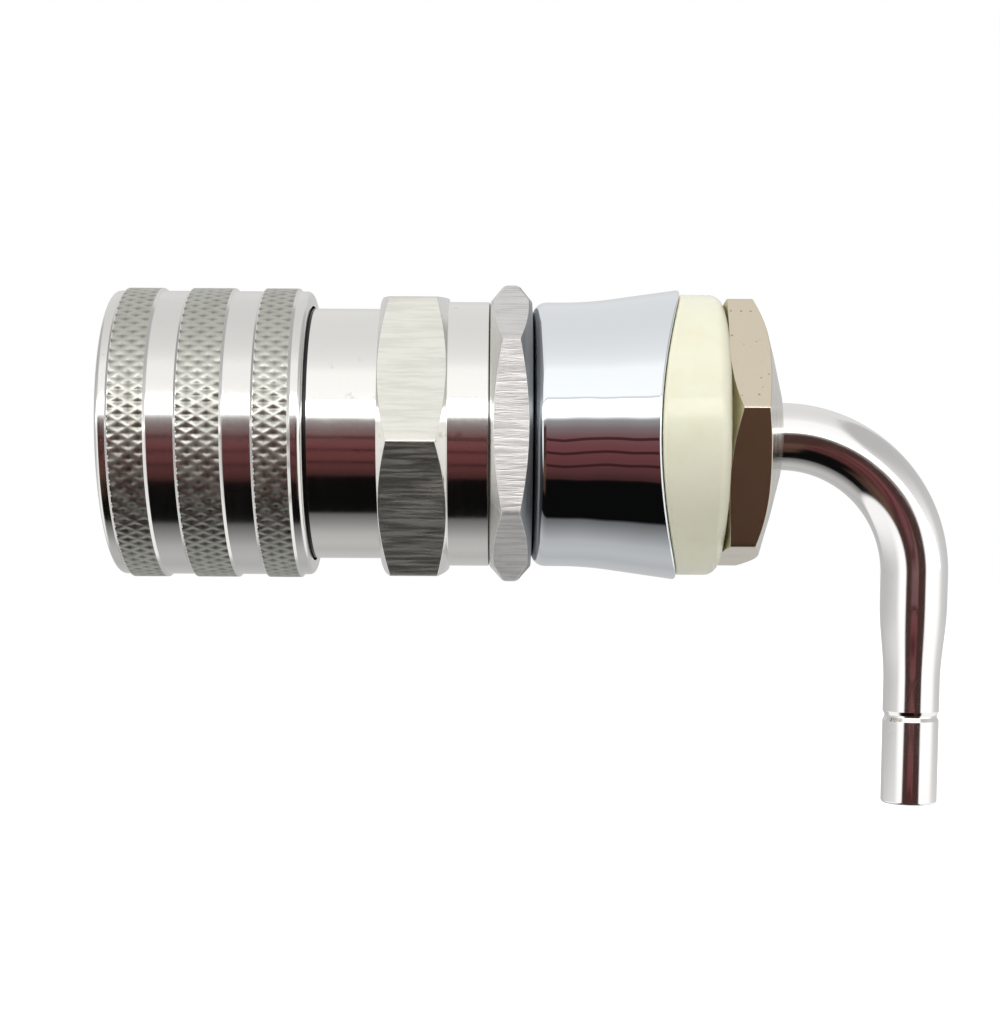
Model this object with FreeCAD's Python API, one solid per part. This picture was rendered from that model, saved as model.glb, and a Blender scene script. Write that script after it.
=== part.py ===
"""Quick-release coupling for a beer font: ball-lock socket, threaded shank, column clamp and bent tail.

The X axis is the axis of the shank. The origin is the middle of the flange's saddle, where the column's wall
is clamped. The socket opens towards -X, the tail leaves at +X and hangs towards -Z. The viewer's side is -Y.
All lengths are in millimetres and all angles in degrees.
"""
import FreeCAD, Part
import math
import os

# Column clamp: flange, spacer and shank head
column_radius = 57.15
flange_length = 17.0
flange_radius = 18.6
flange_flare_start = 4.1
flange_flare_radius = 50.0
flange_flare_angle = 8.0
flange_wall = 2.2
flange_end_wall = 3.0
flange_edge_round = 1.5
spacer_radius = 19.75
spacer_thickness = 9.55
spacer_edge_round = 2.0
spacer_saddle_gap = 0.15
spacer_bore_clearance = 0.3

# Shank and its hexagonal head
shank_radius = 11.4
shank_reach = 36.0
shank_bore_radius = 4.0
shank_end_chamfer = 0.8
head_across_flats = 34.6
head_rim_width = 4.8
head_corner_at = 8.8
head_boss_radius = 6.9
head_boss_rise = 3.6
head_boss_round = 0.5
head_chamfer_angle = 26.0

# Lock nut, cut from flat bar, so that two opposite points are blunt
nut_across_flats = 40.0
nut_width = 5.8
nut_corner_at = 31.1
nut_bar_width = 41.4
nut_blunt_round = 1.2
nut_chamfer_inset = 1.35
nut_chamfer_angle = 21.5

# Coupler body
neck_radius = 18.6
neck_length = 5.75
coupler_hex_rise = 1.45
coupler_hex_width = 9.35
coupler_hex_corner_at = -4.6
coupler_hex_chamfer_inset = 0.12
coupler_hex_chamfer_angle = 25.0
barrel_rise = 2.1
barrel_length = 9.83
barrel_hidden = 1.7
nose_wall = 3.45
nose_recess = 0.4
body_edge_round = 0.3
seal_land = 1.5
flow_bore_radius = 4.5
socket_radius = 12.05
socket_mouth_chamfer = 0.6
socket_guide_length = 6.6
socket_relief = 0.25
socket_floor = 14.5

# Sliding sleeve
sleeve_length = 27.5
sleeve_wall = 2.0
knurl_height = 0.4
knurl_shoulder = 0.15
knurl_bands = ((0.7, 5.85), (10.15, 6.75), (20.7, 5.0))
sleeve_front_round = 0.6
sleeve_rear_round = 1.5
sleeve_travel = 5.5
sleeve_skirt_gap = 0.35
sleeve_guide_width = 1.2
sleeve_land_width = 1.5
locking_cone_angle = 12.0

# Retaining ring in the nose of the coupler body
ring_thickness = 1.0
ring_height = 2.3
ring_groove_depth = 1.05
ring_front_wall = 1.0
ring_opening = 24.0
ring_sleeve_gap = 0.2

# Locking balls
ball_count = 8
ball_radius = 2.38
ball_front_margin = 2.3
ball_rear_margin = 1.4

# Spring and its washer
spring_wire = 1.1
spring_turns = 3.5
spring_sections_per_turn = 16
washer_thickness = 0.6
washer_outer_gap = 0.3

# Seals
plug_seal_section = 1.3
plug_seal_bite = 0.4
plug_gland_width = 3.4
plug_gland_from_ball = 4.0
shank_seal_thickness = 1.4

# Bent tail
tail_radius = 4.75
tail_wall = 0.9
tail_bend_radius = 19.5
tail_bend_angle = 90.1
tail_stub = 0.6
tail_depth_in_head = 6.5
tail_leg_length = 33.0
tail_taper_start = 4.0
tail_taper_length = 11.5
stem_radius = 4.0
stem_wall = 0.9
stem_groove_at = 20.3
stem_groove_width = 1.4
stem_groove_depth = 0.2
stem_tip_round = 0.6

# Clearances
seat_gap = 0.05
running_gap = 0.07
thread_gap = 0.06
braze_gap = 0.02

# Radii that build on each other, from the socket outwards
nose_radius = socket_radius + nose_wall
barrel_radius = nose_radius + barrel_rise
coupler_hex_across_flats = 2.0 * (barrel_radius + coupler_hex_rise)
sleeve_bore_radius = nose_radius + running_gap
skirt_radius = barrel_radius + sleeve_skirt_gap
sleeve_radius = skirt_radius + sleeve_wall

# Places along the axis, worked out from the clamp towards the socket
flange_front = -flange_length
nut_rear = flange_front - seat_gap
nut_front = nut_rear - nut_width
body_rear = nut_front - seat_gap
hex_rear = body_rear - neck_length
hex_front = hex_rear - coupler_hex_width
sleeve_rear = hex_front - barrel_length
sleeve_front = sleeve_rear - sleeve_length
body_front = sleeve_front + nose_recess
barrel_front = sleeve_rear - barrel_hidden
ring_front = body_front + ring_front_wall + seat_gap
ring_rear = ring_front + ring_thickness
sleeve_stop = ring_rear + seat_gap
cone_front = sleeve_stop + sleeve_guide_width
ball_x = cone_front + ball_front_margin + sleeve_travel
cone_rear = ball_x + ball_rear_margin
washer_seat = cone_rear + sleeve_land_width
washer_rear = washer_seat + seat_gap + washer_thickness
gland_front = ball_x + plug_gland_from_ball
seal_front = -shank_reach - seat_gap - shank_seal_thickness
thread_bottom = seal_front - seat_gap
socket_bottom = thread_bottom - socket_floor
head_front = spacer_thickness + seat_gap
head_rim = head_front + head_rim_width
head_rear = head_rim + head_boss_rise
tail_start = head_rear + tail_stub

# Radii that follow from the locking cone and the fits
cone_slope = math.tan(math.radians(locking_cone_angle))
cone_front_radius = sleeve_bore_radius + cone_slope * (cone_rear - cone_front)
cone_radius_at_ball = sleeve_bore_radius + cone_slope * (cone_rear - ball_x)
ball_offset = (ball_radius + seat_gap) / math.cos(math.radians(locking_cone_angle))
ball_centre_radius = cone_radius_at_ball - ball_offset
ring_inner_radius = nose_radius - ring_groove_depth
nut_bore_radius = shank_radius + thread_gap
tail_socket_radius = tail_radius + braze_gap


def axis_point(x, y=0.0, z=0.0):
    """A point as a vector."""
    return FreeCAD.Vector(x, y, z)


X_AXIS = axis_point(1.0)
Y_AXIS = axis_point(0.0, 1.0)


def rounded_wire(corners):
    """Closed wire in the XZ plane through corners (x, r) or (x, r, rounding), rounded by tangent arcs."""
    points = [axis_point(c[0], 0.0, c[1]) for c in corners]
    roundings = [c[2] if len(c) > 2 else 0.0 for c in corners]
    ends, edges = [], []
    for i, corner in enumerate(points):
        before = (points[i - 1] - corner).normalize()
        after = (points[(i + 1) % len(points)] - corner).normalize()
        if roundings[i] <= 0.0:
            ends.append((corner, corner))
            continue
        half = before.getAngle(after) / 2.0
        reach = roundings[i] / math.tan(half)
        bisector = (before + after).normalize()
        centre = corner + bisector * (roundings[i] / math.sin(half))
        middle = centre - bisector * roundings[i]
        ends.append((corner + before * reach, corner + after * reach))
        edges.append(Part.Arc(ends[-1][0], middle, ends[-1][1]).toShape())
    for i in range(len(points)):
        start, stop = ends[i - 1][1], ends[i][0]
        if (stop - start).Length > 1e-6:
            edges.append(Part.LineSegment(start, stop).toShape())
    return Part.Wire(Part.__sortEdges__(edges))


def turned(corners):
    """Solid of revolution about the X axis from a closed outline of corners."""
    return Part.Face(rounded_wire(corners)).revolve(axis_point(0.0), X_AXIS, 360.0)


def tube(inner, outer, start, stop):
    """Plain ring about the X axis."""
    return turned([(start, inner), (start, outer), (stop, outer), (stop, inner)])


def plug(radius, start, stop):
    """Plain cylinder about the X axis."""
    return Part.makeCylinder(radius, stop - start, axis_point(start), X_AXIS)


def around_axis(shape, angle):
    """Copy of a shape turned about the X axis, from the viewer's side towards +Z."""
    copy = shape.copy()
    copy.rotate(axis_point(0.0), X_AXIS, -angle)
    return copy


def hex_prism(across_flats, start, stop, corner_at):
    """Hexagonal prism along X, with one corner at the given angle above the viewer's side."""
    corner_radius = across_flats / 2.0 / math.cos(math.radians(30.0))
    corners = []
    for k in range(7):
        angle = math.radians(corner_at + 60.0 * k)
        corners.append(axis_point(start, -corner_radius * math.cos(angle), corner_radius * math.sin(angle)))
    return Part.Face(Part.makePolygon(corners)).extrude(axis_point(stop - start))


def chamfer_disc(across_flats, start, stop, inset, angle):
    """Turned blank that chamfers both ends of a hexagon, from a circle inset from its flats outwards."""
    flat = across_flats / 2.0 - inset
    corner = across_flats / 2.0 / math.cos(math.radians(30.0)) + 1.0
    fall = (corner - flat) * math.tan(math.radians(angle))
    return turned([(start, 0.0), (start, flat), (start + fall, corner),
                   (stop - fall, corner), (stop, flat), (stop, 0.0)])


def make_coupler_body():
    """Nose, barrel, wrench hexagon and neck, bored for the tap's plug, the balls, the seal and the shank."""
    outside = turned([
        (body_front, 0.0), (body_front, nose_radius, body_edge_round), (barrel_front, nose_radius),
        (barrel_front, barrel_radius, body_edge_round), (hex_front, barrel_radius),
        (hex_front, nose_radius), (hex_rear, nose_radius),
        (hex_rear, neck_radius), (body_rear, neck_radius, body_edge_round), (body_rear, 0.0)])
    hexagon = hex_prism(coupler_hex_across_flats, hex_front, hex_rear, coupler_hex_corner_at)
    outside = outside.fuse(hexagon.common(chamfer_disc(
        coupler_hex_across_flats, hex_front, hex_rear, coupler_hex_chamfer_inset, coupler_hex_chamfer_angle)))
    guide_rear = body_front + socket_mouth_chamfer + socket_guide_length
    relief_radius = socket_radius + socket_relief
    gland_rear = gland_front + plug_gland_width
    gland_radius = socket_radius - plug_seal_bite + 2.0 * plug_seal_section + seat_gap
    bore = turned([
        (body_front - 1.0, 0.0), (body_front - 1.0, socket_radius + socket_mouth_chamfer),
        (body_front, socket_radius + socket_mouth_chamfer),
        (body_front + socket_mouth_chamfer, socket_radius), (guide_rear, socket_radius),
        (guide_rear + socket_relief, relief_radius),
        (gland_front - seal_land - socket_relief, relief_radius), (gland_front - seal_land, socket_radius),
        (gland_front, socket_radius), (gland_front, gland_radius), (gland_rear, gland_radius),
        (gland_rear, socket_radius), (socket_bottom, socket_radius),
        (socket_bottom, flow_bore_radius), (thread_bottom, flow_bore_radius),
        (thread_bottom, nut_bore_radius), (body_rear - body_edge_round, nut_bore_radius),
        (body_rear, nut_bore_radius + body_edge_round), (body_rear + 1.0, nut_bore_radius + body_edge_round),
        (body_rear + 1.0, 0.0)])
    ring_groove = tube(ring_inner_radius - seat_gap, nose_radius + 1.0, ring_front - seat_gap, sleeve_stop)
    body = outside.cut(bore).cut(ring_groove)
    ball_centre = axis_point(ball_x, -ball_centre_radius)
    pocket_radius = ball_radius + seat_gap
    pocket = Part.makeSphere(pocket_radius, ball_centre)
    pocket = pocket.fuse(Part.makeCylinder(pocket_radius, nose_radius, ball_centre, Y_AXIS * -1.0))
    for k in range(ball_count):
        body = body.cut(around_axis(pocket, 360.0 / ball_count * k))
    return body


def make_sleeve():
    """Sliding sleeve: raised bands outside; stop, locking cone, washer seat and skirt inside."""
    band_radius = sleeve_radius + knurl_height
    outline = [(sleeve_front, ring_inner_radius + ring_height + ring_sleeve_gap),
               (sleeve_front, sleeve_radius, sleeve_front_round)]
    for offset, width in knurl_bands:
        band_front = sleeve_front + offset
        band_rear = band_front + width
        outline += [(band_front, sleeve_radius), (band_front + knurl_shoulder, band_radius),
                    (band_rear - knurl_shoulder, band_radius), (band_rear, sleeve_radius)]
    outline += [(sleeve_rear, sleeve_radius, sleeve_rear_round), (sleeve_rear, skirt_radius),
                (washer_seat, skirt_radius), (washer_seat, sleeve_bore_radius),
                (cone_rear, sleeve_bore_radius), (cone_front, cone_front_radius),
                (cone_front, sleeve_bore_radius), (sleeve_stop, sleeve_bore_radius),
                (sleeve_stop, ring_inner_radius + ring_height + ring_sleeve_gap)]
    return turned(outline)


def make_retaining_ring():
    """Open snap ring that holds the sleeve on the nose."""
    ring = tube(ring_inner_radius, ring_inner_radius + ring_height, ring_front, ring_rear)
    span = 2.0 * (ring_inner_radius + ring_height)
    width = 2.0 * ring_inner_radius * math.sin(math.radians(ring_opening / 2.0))
    opening = Part.makeBox(ring_thickness * 2.0, width, span,
                           axis_point(ring_front - ring_thickness / 2.0, -width / 2.0, 0.0))
    return ring.cut(opening)


def make_ball(index):
    """One locking ball, held in by the cone of the sleeve."""
    ball = Part.makeSphere(ball_radius, axis_point(ball_x, -ball_centre_radius))
    return around_axis(ball, 360.0 / ball_count * index)


def make_thrust_washer():
    """Flat washer between the spring and the sleeve."""
    return tube(sleeve_bore_radius, skirt_radius - washer_outer_gap, washer_seat + seat_gap, washer_rear)


def make_sleeve_spring():
    """Compression spring between the washer and the shoulder of the barrel: round sections along a helix."""
    middle_radius = (nose_radius + barrel_radius + washer_outer_gap) / 2.0
    rise = barrel_front - washer_rear - 2.0 * seat_gap - spring_wire
    start = washer_rear + seat_gap + spring_wire / 2.0
    count = round(spring_turns * spring_sections_per_turn)
    sections = []
    for k in range(count + 1):
        angle = 2.0 * math.pi * k / spring_sections_per_turn
        centre = axis_point(start + rise * k / count,
                            middle_radius * math.cos(angle), middle_radius * math.sin(angle))
        heading = axis_point(rise / spring_turns / (2.0 * math.pi),
                             -middle_radius * math.sin(angle), middle_radius * math.cos(angle))
        sections.append(Part.Wire([Part.makeCircle(spring_wire / 2.0, centre, heading)]))
    return Part.makeLoft(sections, True, True)


def make_plug_seal():
    """O-ring that grips the tap's plug."""
    middle_radius = socket_radius - plug_seal_bite + plug_seal_section
    return Part.makeTorus(middle_radius, plug_seal_section,
                          axis_point(gland_front + plug_gland_width / 2.0), X_AXIS)


def make_shank():
    """Threaded tube with a chamfered hexagonal head and a socket for the tail."""
    corner_radius = head_across_flats / 2.0 / math.cos(math.radians(30.0))
    flat = head_across_flats / 2.0
    fall = (corner_radius - flat) * math.tan(math.radians(head_chamfer_angle))
    blank = turned([
        (head_front, 0.0), (head_front, flat), (head_front + fall, corner_radius),
        (head_rim, corner_radius), (head_rear, head_boss_radius, head_boss_round), (head_rear, 0.0)])
    head = hex_prism(head_across_flats, head_front, head_rear, head_corner_at).common(blank)
    thread = turned([(-shank_reach, 0.0), (-shank_reach, shank_radius - shank_end_chamfer),
                     (-shank_reach + shank_end_chamfer, shank_radius), (head_front, shank_radius),
                     (head_front, 0.0)])
    socket_front = head_rear - tail_depth_in_head
    passage = plug(shank_bore_radius, -shank_reach - 1.0, head_rear)
    tail_socket = plug(tail_socket_radius, socket_front, head_rear + 1.0)
    return head.fuse(thread).cut(passage).cut(tail_socket).removeSplitter()


def make_shank_seal():
    """Flat washer between the end of the shank and the floor of its thread."""
    return tube(flow_bore_radius + seat_gap, shank_radius - shank_end_chamfer,
                seal_front, seal_front + shank_seal_thickness)


def make_lock_nut():
    """Thin hexagonal nut with two blunt points."""
    nut = hex_prism(nut_across_flats, nut_front, nut_rear, nut_corner_at)
    bar = Part.makeBox(nut_width + 2.0, 2.0 * nut_across_flats, nut_bar_width,
                       axis_point(nut_front - 1.0, -nut_across_flats, -nut_bar_width / 2.0))
    nut = nut.common(bar)
    on_bar = [edge for edge in nut.Edges if edge.BoundBox.XLength > nut_width / 2.0
              and abs(abs(edge.CenterOfMass.z) - nut_bar_width / 2.0) < seat_gap]
    nut = nut.makeFillet(nut_blunt_round, on_bar)
    blank = chamfer_disc(nut_across_flats, nut_front, nut_rear, nut_chamfer_inset, nut_chamfer_angle)
    return nut.common(blank).cut(plug(nut_bore_radius, nut_front - 1.0, nut_rear + 1.0))


def make_flange():
    """Flared hollow ferrule whose rim is a saddle for the column."""
    angle = math.radians(flange_flare_angle)
    flare_front = flange_front + flange_flare_start
    flare_rear = flare_front + flange_flare_radius * math.sin(angle)
    middle = (flare_front + flange_flare_radius * math.sin(angle / 2.0),
              flange_radius + flange_flare_radius * (1.0 - math.cos(angle / 2.0)))
    flare_radius = flange_radius + flange_flare_radius * (1.0 - math.cos(angle))
    rim = 0.1 * column_radius
    rim_radius = flare_radius + (rim - flare_rear) * math.tan(angle)
    points = [(flange_front, 0.0), (flange_front, flange_radius - flange_edge_round),
              (flange_front + flange_edge_round, flange_radius), (flare_front, flange_radius),
              (flare_rear, flare_radius), (rim, rim_radius), (rim, 0.0)]
    at = [axis_point(x, 0.0, r) for x, r in points]
    turn = flange_edge_round * math.sqrt(0.5)
    corner = axis_point(flange_front + flange_edge_round - turn, 0.0,
                        flange_radius - flange_edge_round + turn)
    edges = [Part.LineSegment(at[0], at[1]).toShape(), Part.Arc(at[1], corner, at[2]).toShape(),
             Part.LineSegment(at[2], at[3]).toShape(),
             Part.Arc(at[3], axis_point(middle[0], 0.0, middle[1]), at[4]).toShape(),
             Part.LineSegment(at[4], at[5]).toShape(), Part.LineSegment(at[5], at[6]).toShape(),
             Part.LineSegment(at[6], at[0]).toShape()]
    flange = Part.Face(Part.Wire(edges)).revolve(axis_point(0.0), X_AXIS, 360.0)
    column = Part.makeCylinder(column_radius, 4.0 * flange_radius,
                               axis_point(column_radius, -2.0 * flange_radius), Y_AXIS)
    hollow = plug(flange_radius - flange_wall, flange_front + flange_end_wall, rim + 1.0)
    hole = plug(shank_radius + running_gap, flange_front - 1.0, rim + 1.0)
    return flange.cut(column).cut(hollow).cut(hole)


def make_spacer():
    """Moulded spacer with a convex face for the column's wall and a rounded rear edge."""
    disc = turned([(0.0, 0.0), (0.0, spacer_radius), (spacer_thickness, spacer_radius, spacer_edge_round),
                   (spacer_thickness, 0.0)])
    column = Part.makeCylinder(column_radius - spacer_saddle_gap, 4.0 * spacer_radius,
                               axis_point(column_radius, -2.0 * spacer_radius), Y_AXIS)
    return disc.common(column).cut(plug(shank_radius + spacer_bore_clearance, -1.0, spacer_thickness + 1.0))


def make_tail_tube():
    """Bent tube from the head of the shank to a straight push-fit stem."""
    bore = tail_radius - tail_wall
    stub_front = head_rear - tail_depth_in_head + seat_gap
    stub = tube(bore, tail_radius, stub_front, tail_start)
    bend_centre = axis_point(tail_start, 0.0, -tail_bend_radius)
    circles = [Part.makeCircle(radius, axis_point(tail_start), X_AXIS) for radius in (tail_radius, bore)]
    ring = Part.Face([Part.Wire([circle]) for circle in circles])
    bend = ring.revolve(bend_centre, Y_AXIS, tail_bend_angle)
    taper_end = tail_taper_start + tail_taper_length
    stem_bore = stem_radius - stem_wall
    half_groove = stem_groove_width / 2.0
    floor = stem_radius - stem_groove_depth
    leg = turned([(0.0, bore), (0.0, tail_radius), (tail_taper_start, tail_radius), (taper_end, stem_radius),
                  (stem_groove_at - half_groove, stem_radius), (stem_groove_at, floor, stem_groove_width),
                  (stem_groove_at + half_groove, stem_radius),
                  (tail_leg_length, stem_radius, stem_tip_round), (tail_leg_length, stem_bore),
                  (taper_end, stem_bore), (tail_taper_start, bore)])
    leg.translate(axis_point(tail_start))
    leg.rotate(bend_centre, Y_AXIS, tail_bend_angle)
    return stub.fuse(bend).fuse(leg).removeSplitter()


def main():
    """Build every piece and write one file for each."""
    pieces = {
        "coupler_body": make_coupler_body(),
        "sleeve": make_sleeve(),
        "retaining_ring": make_retaining_ring(),
        "thrust_washer": make_thrust_washer(),
        "sleeve_spring": make_sleeve_spring(),
        "plug_seal": make_plug_seal(),
        "shank": make_shank(),
        "shank_seal": make_shank_seal(),
        "lock_nut": make_lock_nut(),
        "flange": make_flange(),
        "spacer": make_spacer(),
        "tail_tube": make_tail_tube(),
    }
    for k in range(ball_count):
        pieces["ball_%d" % (k + 1)] = make_ball(k)
    os.makedirs("parts", exist_ok=True)
    for name, shape in pieces.items():
        print(name, shape.ShapeType, len(shape.Solids), shape.isValid(), round(shape.Volume, 1))
        shape.exportStep("parts/%s.step" % name)
    print("balls at x", ball_x, "radius", ball_centre_radius, "slope", cone_slope)


main()
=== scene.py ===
"""Looks of a quick-release beer coupling: fine surfaces, metal and nylon finishes, stage and camera.

Sizes are in millimetres in the frame's axes: X runs along the shank from the socket to the tail, the viewer
stands at -Y and +Z is up. Angles around the axis start at the viewer's side and turn towards +Z. Meshes are
written in metres, each with its place in the mesh and its object at the origin.
"""
import logging
import math
from dataclasses import dataclass
from enum import Enum
from typing import Sequence

import bmesh
import bpy
import numpy as np
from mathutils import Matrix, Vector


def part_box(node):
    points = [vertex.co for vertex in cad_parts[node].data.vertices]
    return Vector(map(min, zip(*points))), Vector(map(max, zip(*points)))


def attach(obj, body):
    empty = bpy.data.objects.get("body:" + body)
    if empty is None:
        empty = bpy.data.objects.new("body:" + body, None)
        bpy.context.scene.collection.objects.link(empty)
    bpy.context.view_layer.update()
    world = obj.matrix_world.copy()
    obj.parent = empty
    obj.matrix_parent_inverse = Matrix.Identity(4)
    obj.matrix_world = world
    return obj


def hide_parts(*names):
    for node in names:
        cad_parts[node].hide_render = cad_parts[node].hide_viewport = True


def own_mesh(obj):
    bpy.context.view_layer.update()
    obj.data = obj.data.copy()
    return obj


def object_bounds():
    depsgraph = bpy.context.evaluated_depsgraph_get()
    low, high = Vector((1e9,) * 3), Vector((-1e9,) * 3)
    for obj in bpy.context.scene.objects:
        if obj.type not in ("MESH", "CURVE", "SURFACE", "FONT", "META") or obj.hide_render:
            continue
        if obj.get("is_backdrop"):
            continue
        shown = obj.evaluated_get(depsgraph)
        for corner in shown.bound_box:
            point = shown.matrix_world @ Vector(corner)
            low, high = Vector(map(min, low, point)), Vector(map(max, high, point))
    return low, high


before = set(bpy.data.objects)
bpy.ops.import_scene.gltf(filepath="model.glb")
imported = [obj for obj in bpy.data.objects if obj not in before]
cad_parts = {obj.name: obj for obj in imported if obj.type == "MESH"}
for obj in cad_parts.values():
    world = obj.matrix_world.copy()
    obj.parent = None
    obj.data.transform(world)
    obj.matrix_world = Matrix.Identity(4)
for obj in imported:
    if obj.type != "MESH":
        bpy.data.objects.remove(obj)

log = logging.getLogger("coupling")

Array = np.ndarray
Socket = bpy.types.NodeSocket
Colour = tuple[float, float, float]

MM = 0.001
ROUND_STEPS = 5
CREASE = math.radians(32.0)
# Most that an arc takes of the side beside it, and least cosine of a turn that is rounded
ARC_SHARE = 0.49
LEAST_TURN = -0.999
WHITE = (1.0, 1.0, 1.0, 1.0)
STAIN_BROWN = (0.30, 0.27, 0.22, 1.0)
PIT_BROWN = (0.10, 0.07, 0.05, 1.0)
# Near-black painted into the knurl's pits: painted shade in the hollows
PAINTED_PIT_SHADE = (0.05, 0.045, 0.04, 1.0)
# Radii of small roundings, from a scraped edge to a blunt one
HAIR, SCRAPED, KEEN, CRISP, FINE = 0.05, 0.06, 0.08, 0.1, 0.12
CLEAN, EASED, SOFT, BLUNT = 0.15, 0.2, 0.25, 0.3


class Grain(Enum):
    """Ways in which a surface was worked. The first two are named for their groups of marks."""

    TURNED = "turning_marks"
    GROUND = "grinding_marks"
    DRAWN = "drawn"
    PLAIN = "plain"


def extent(node: str) -> tuple[Array, Array]:
    """Lowest and highest corner of a node at rest, in millimetres.

    Args:
        node: name of the node.

    Returns:
        The two corners as arrays of three.
    """
    low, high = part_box(node)
    return np.array(low) / MM, np.array(high) / MM


# Geometry


def even_angles(count: int) -> Array:
    """Angles all round the axis at equal steps, in radians."""
    return np.arange(count) * (2.0 * np.pi / count)


def hexagon_angles(corner_at: float, half_steps: int, crowding: float = 1.6) -> Array:
    """Angles all round the axis that crowd towards the corners of a hexagon.

    Within 30 degrees of each corner the angle from it is 30 u^crowding, for u at equal steps.

    Args:
        corner_at: angle of one corner in degrees.
        half_steps: columns between a corner and the middle of a flat.
        crowding: exponent that draws the columns to the corners.

    Returns:
        Angles in radians, rising.
    """
    u = np.arange(-half_steps, half_steps) / half_steps
    near = 30.0 * np.sign(u) * np.abs(u) ** crowding
    corners = corner_at + 60.0 * np.arange(6)
    return np.radians((corners[:, None] + near[None, :]).ravel())


def hexagon_reach(angles: Array, across_flats: float, corner_at: float, sharpness: float,
                  bar_width: float = 0.0) -> Array:
    """Distance from the axis to the sides of a hexagon with softened corners.

    The distance is a / (sum of (cos of the angle to each side's normal)^p)^(1/p), with a the half width.
    A bar width adds an upper and a lower side at half that width.

    Args:
        angles: angles around the axis in radians.
        across_flats: width of the hexagon.
        corner_at: angle of one corner in degrees.
        sharpness: the exponent p; more is sharper.
        bar_width: distance between the two added sides, or 0 for none.

    Returns:
        One distance for each angle.
    """
    half = across_flats / 2.0
    normals = np.radians(corner_at + 30.0 + 60.0 * np.arange(6))
    share = np.clip(np.cos(angles[:, None] - normals[None, :]), 0.0, None)
    if bar_width > 0.0:
        bar = np.clip(np.cos(angles[:, None] - np.radians([90.0, 270.0])[None, :]), 0.0, None)
        share = np.concatenate([share, bar * (2.0 * half / bar_width)], axis=1)
    return half * (share ** sharpness).sum(axis=1) ** (-1.0 / sharpness)


def round_corners(keys: Sequence[tuple], columns: int, closed: bool = True) -> tuple[Array, Array]:
    """Rows of (x, r) through key rows, with a tangent arc at each key that has a rounding.

    The arc between tangent points a and b about corner k is ((1-t)^2 a + 2t(1-t)w k + t^2 b) over the sum of
    its weights, with w the cosine of half the turn, which is a true circle. An arc takes up less than half of
    the shorter side beside it.

    Args:
        keys: (x, r) or (x, r, rounding), each a number or one value for each column.
        columns: number of columns.
        closed: whether the last key joins the first.

    Returns:
        Rows of shape (rows, columns, 2), and for each row the key whose outgoing side the strip lies on.
    """
    points = np.stack([np.stack([np.broadcast_to(k[0], columns), np.broadcast_to(k[1], columns)], axis=-1)
                       for k in keys]).astype(float)
    rows: list[Array] = []
    sides: list[int] = []
    count = len(keys)
    for i, key in enumerate(keys):
        rounding = np.broadcast_to(key[2] if len(key) > 2 else 0.0, columns)[:, None]
        inner = closed or 0 < i < count - 1
        if not rounding.any() or not inner:
            rows.append(points[i])
            sides.append(i)
            continue
        back = points[i - 1] - points[i]
        ahead = points[(i + 1) % count] - points[i]
        back_length = np.linalg.norm(back, axis=-1, keepdims=True)
        ahead_length = np.linalg.norm(ahead, axis=-1, keepdims=True)
        back, ahead = back / back_length, ahead / ahead_length
        turn_cos = np.clip(-(back * ahead).sum(axis=-1, keepdims=True), LEAST_TURN, 1.0)
        reach = rounding * np.sqrt((1.0 - turn_cos) / (1.0 + turn_cos))
        reach = np.minimum(reach, ARC_SHARE * np.minimum(back_length, ahead_length))
        weight = np.sqrt((1.0 + turn_cos) / 2.0)
        start, stop = points[i] + back * reach, points[i] + ahead * reach
        for step in range(ROUND_STEPS + 1):
            t = step / ROUND_STEPS
            top = (1 - t) ** 2 * start + 2 * t * (1 - t) * weight * points[i] + t * t * stop
            rows.append(top / ((1 - t) ** 2 + 2 * t * (1 - t) * weight + t * t))
            sides.append(i if step >= ROUND_STEPS / 2 else (i - 1) % count)
    return np.stack(rows), np.array(sides)


def flat_ring(low: Array, high: Array, inner: float, outer: float, inner_edge: float,
              outer_edge: float) -> list[tuple]:
    """Outline of a ring with an oblong section, for round_corners.

    Args:
        low: lowest corner of the ring's box.
        high: highest corner of the ring's box.
        inner: radius of its bore.
        outer: radius of its outside.
        inner_edge: rounding of the two edges of the bore.
        outer_edge: rounding of the two outer edges.

    Returns:
        Four keys.
    """
    return [(low[0], inner, inner_edge), (low[0], outer, outer_edge), (high[0], outer, outer_edge),
            (high[0], inner, inner_edge)]


def around_axis(rows: Array, angles: Array) -> Array:
    """Points of turned rows: x stays, and r is laid out as (-r cos, r sin) in Y and Z.

    Args:
        rows: (rows, columns, 2) of x and r.
        angles: angle of each column in radians.

    Returns:
        Points of shape (rows, columns, 3).
    """
    x, r = rows[..., 0], rows[..., 1]
    return np.stack([x, -r * np.cos(angles), r * np.sin(angles)], axis=-1)


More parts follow.
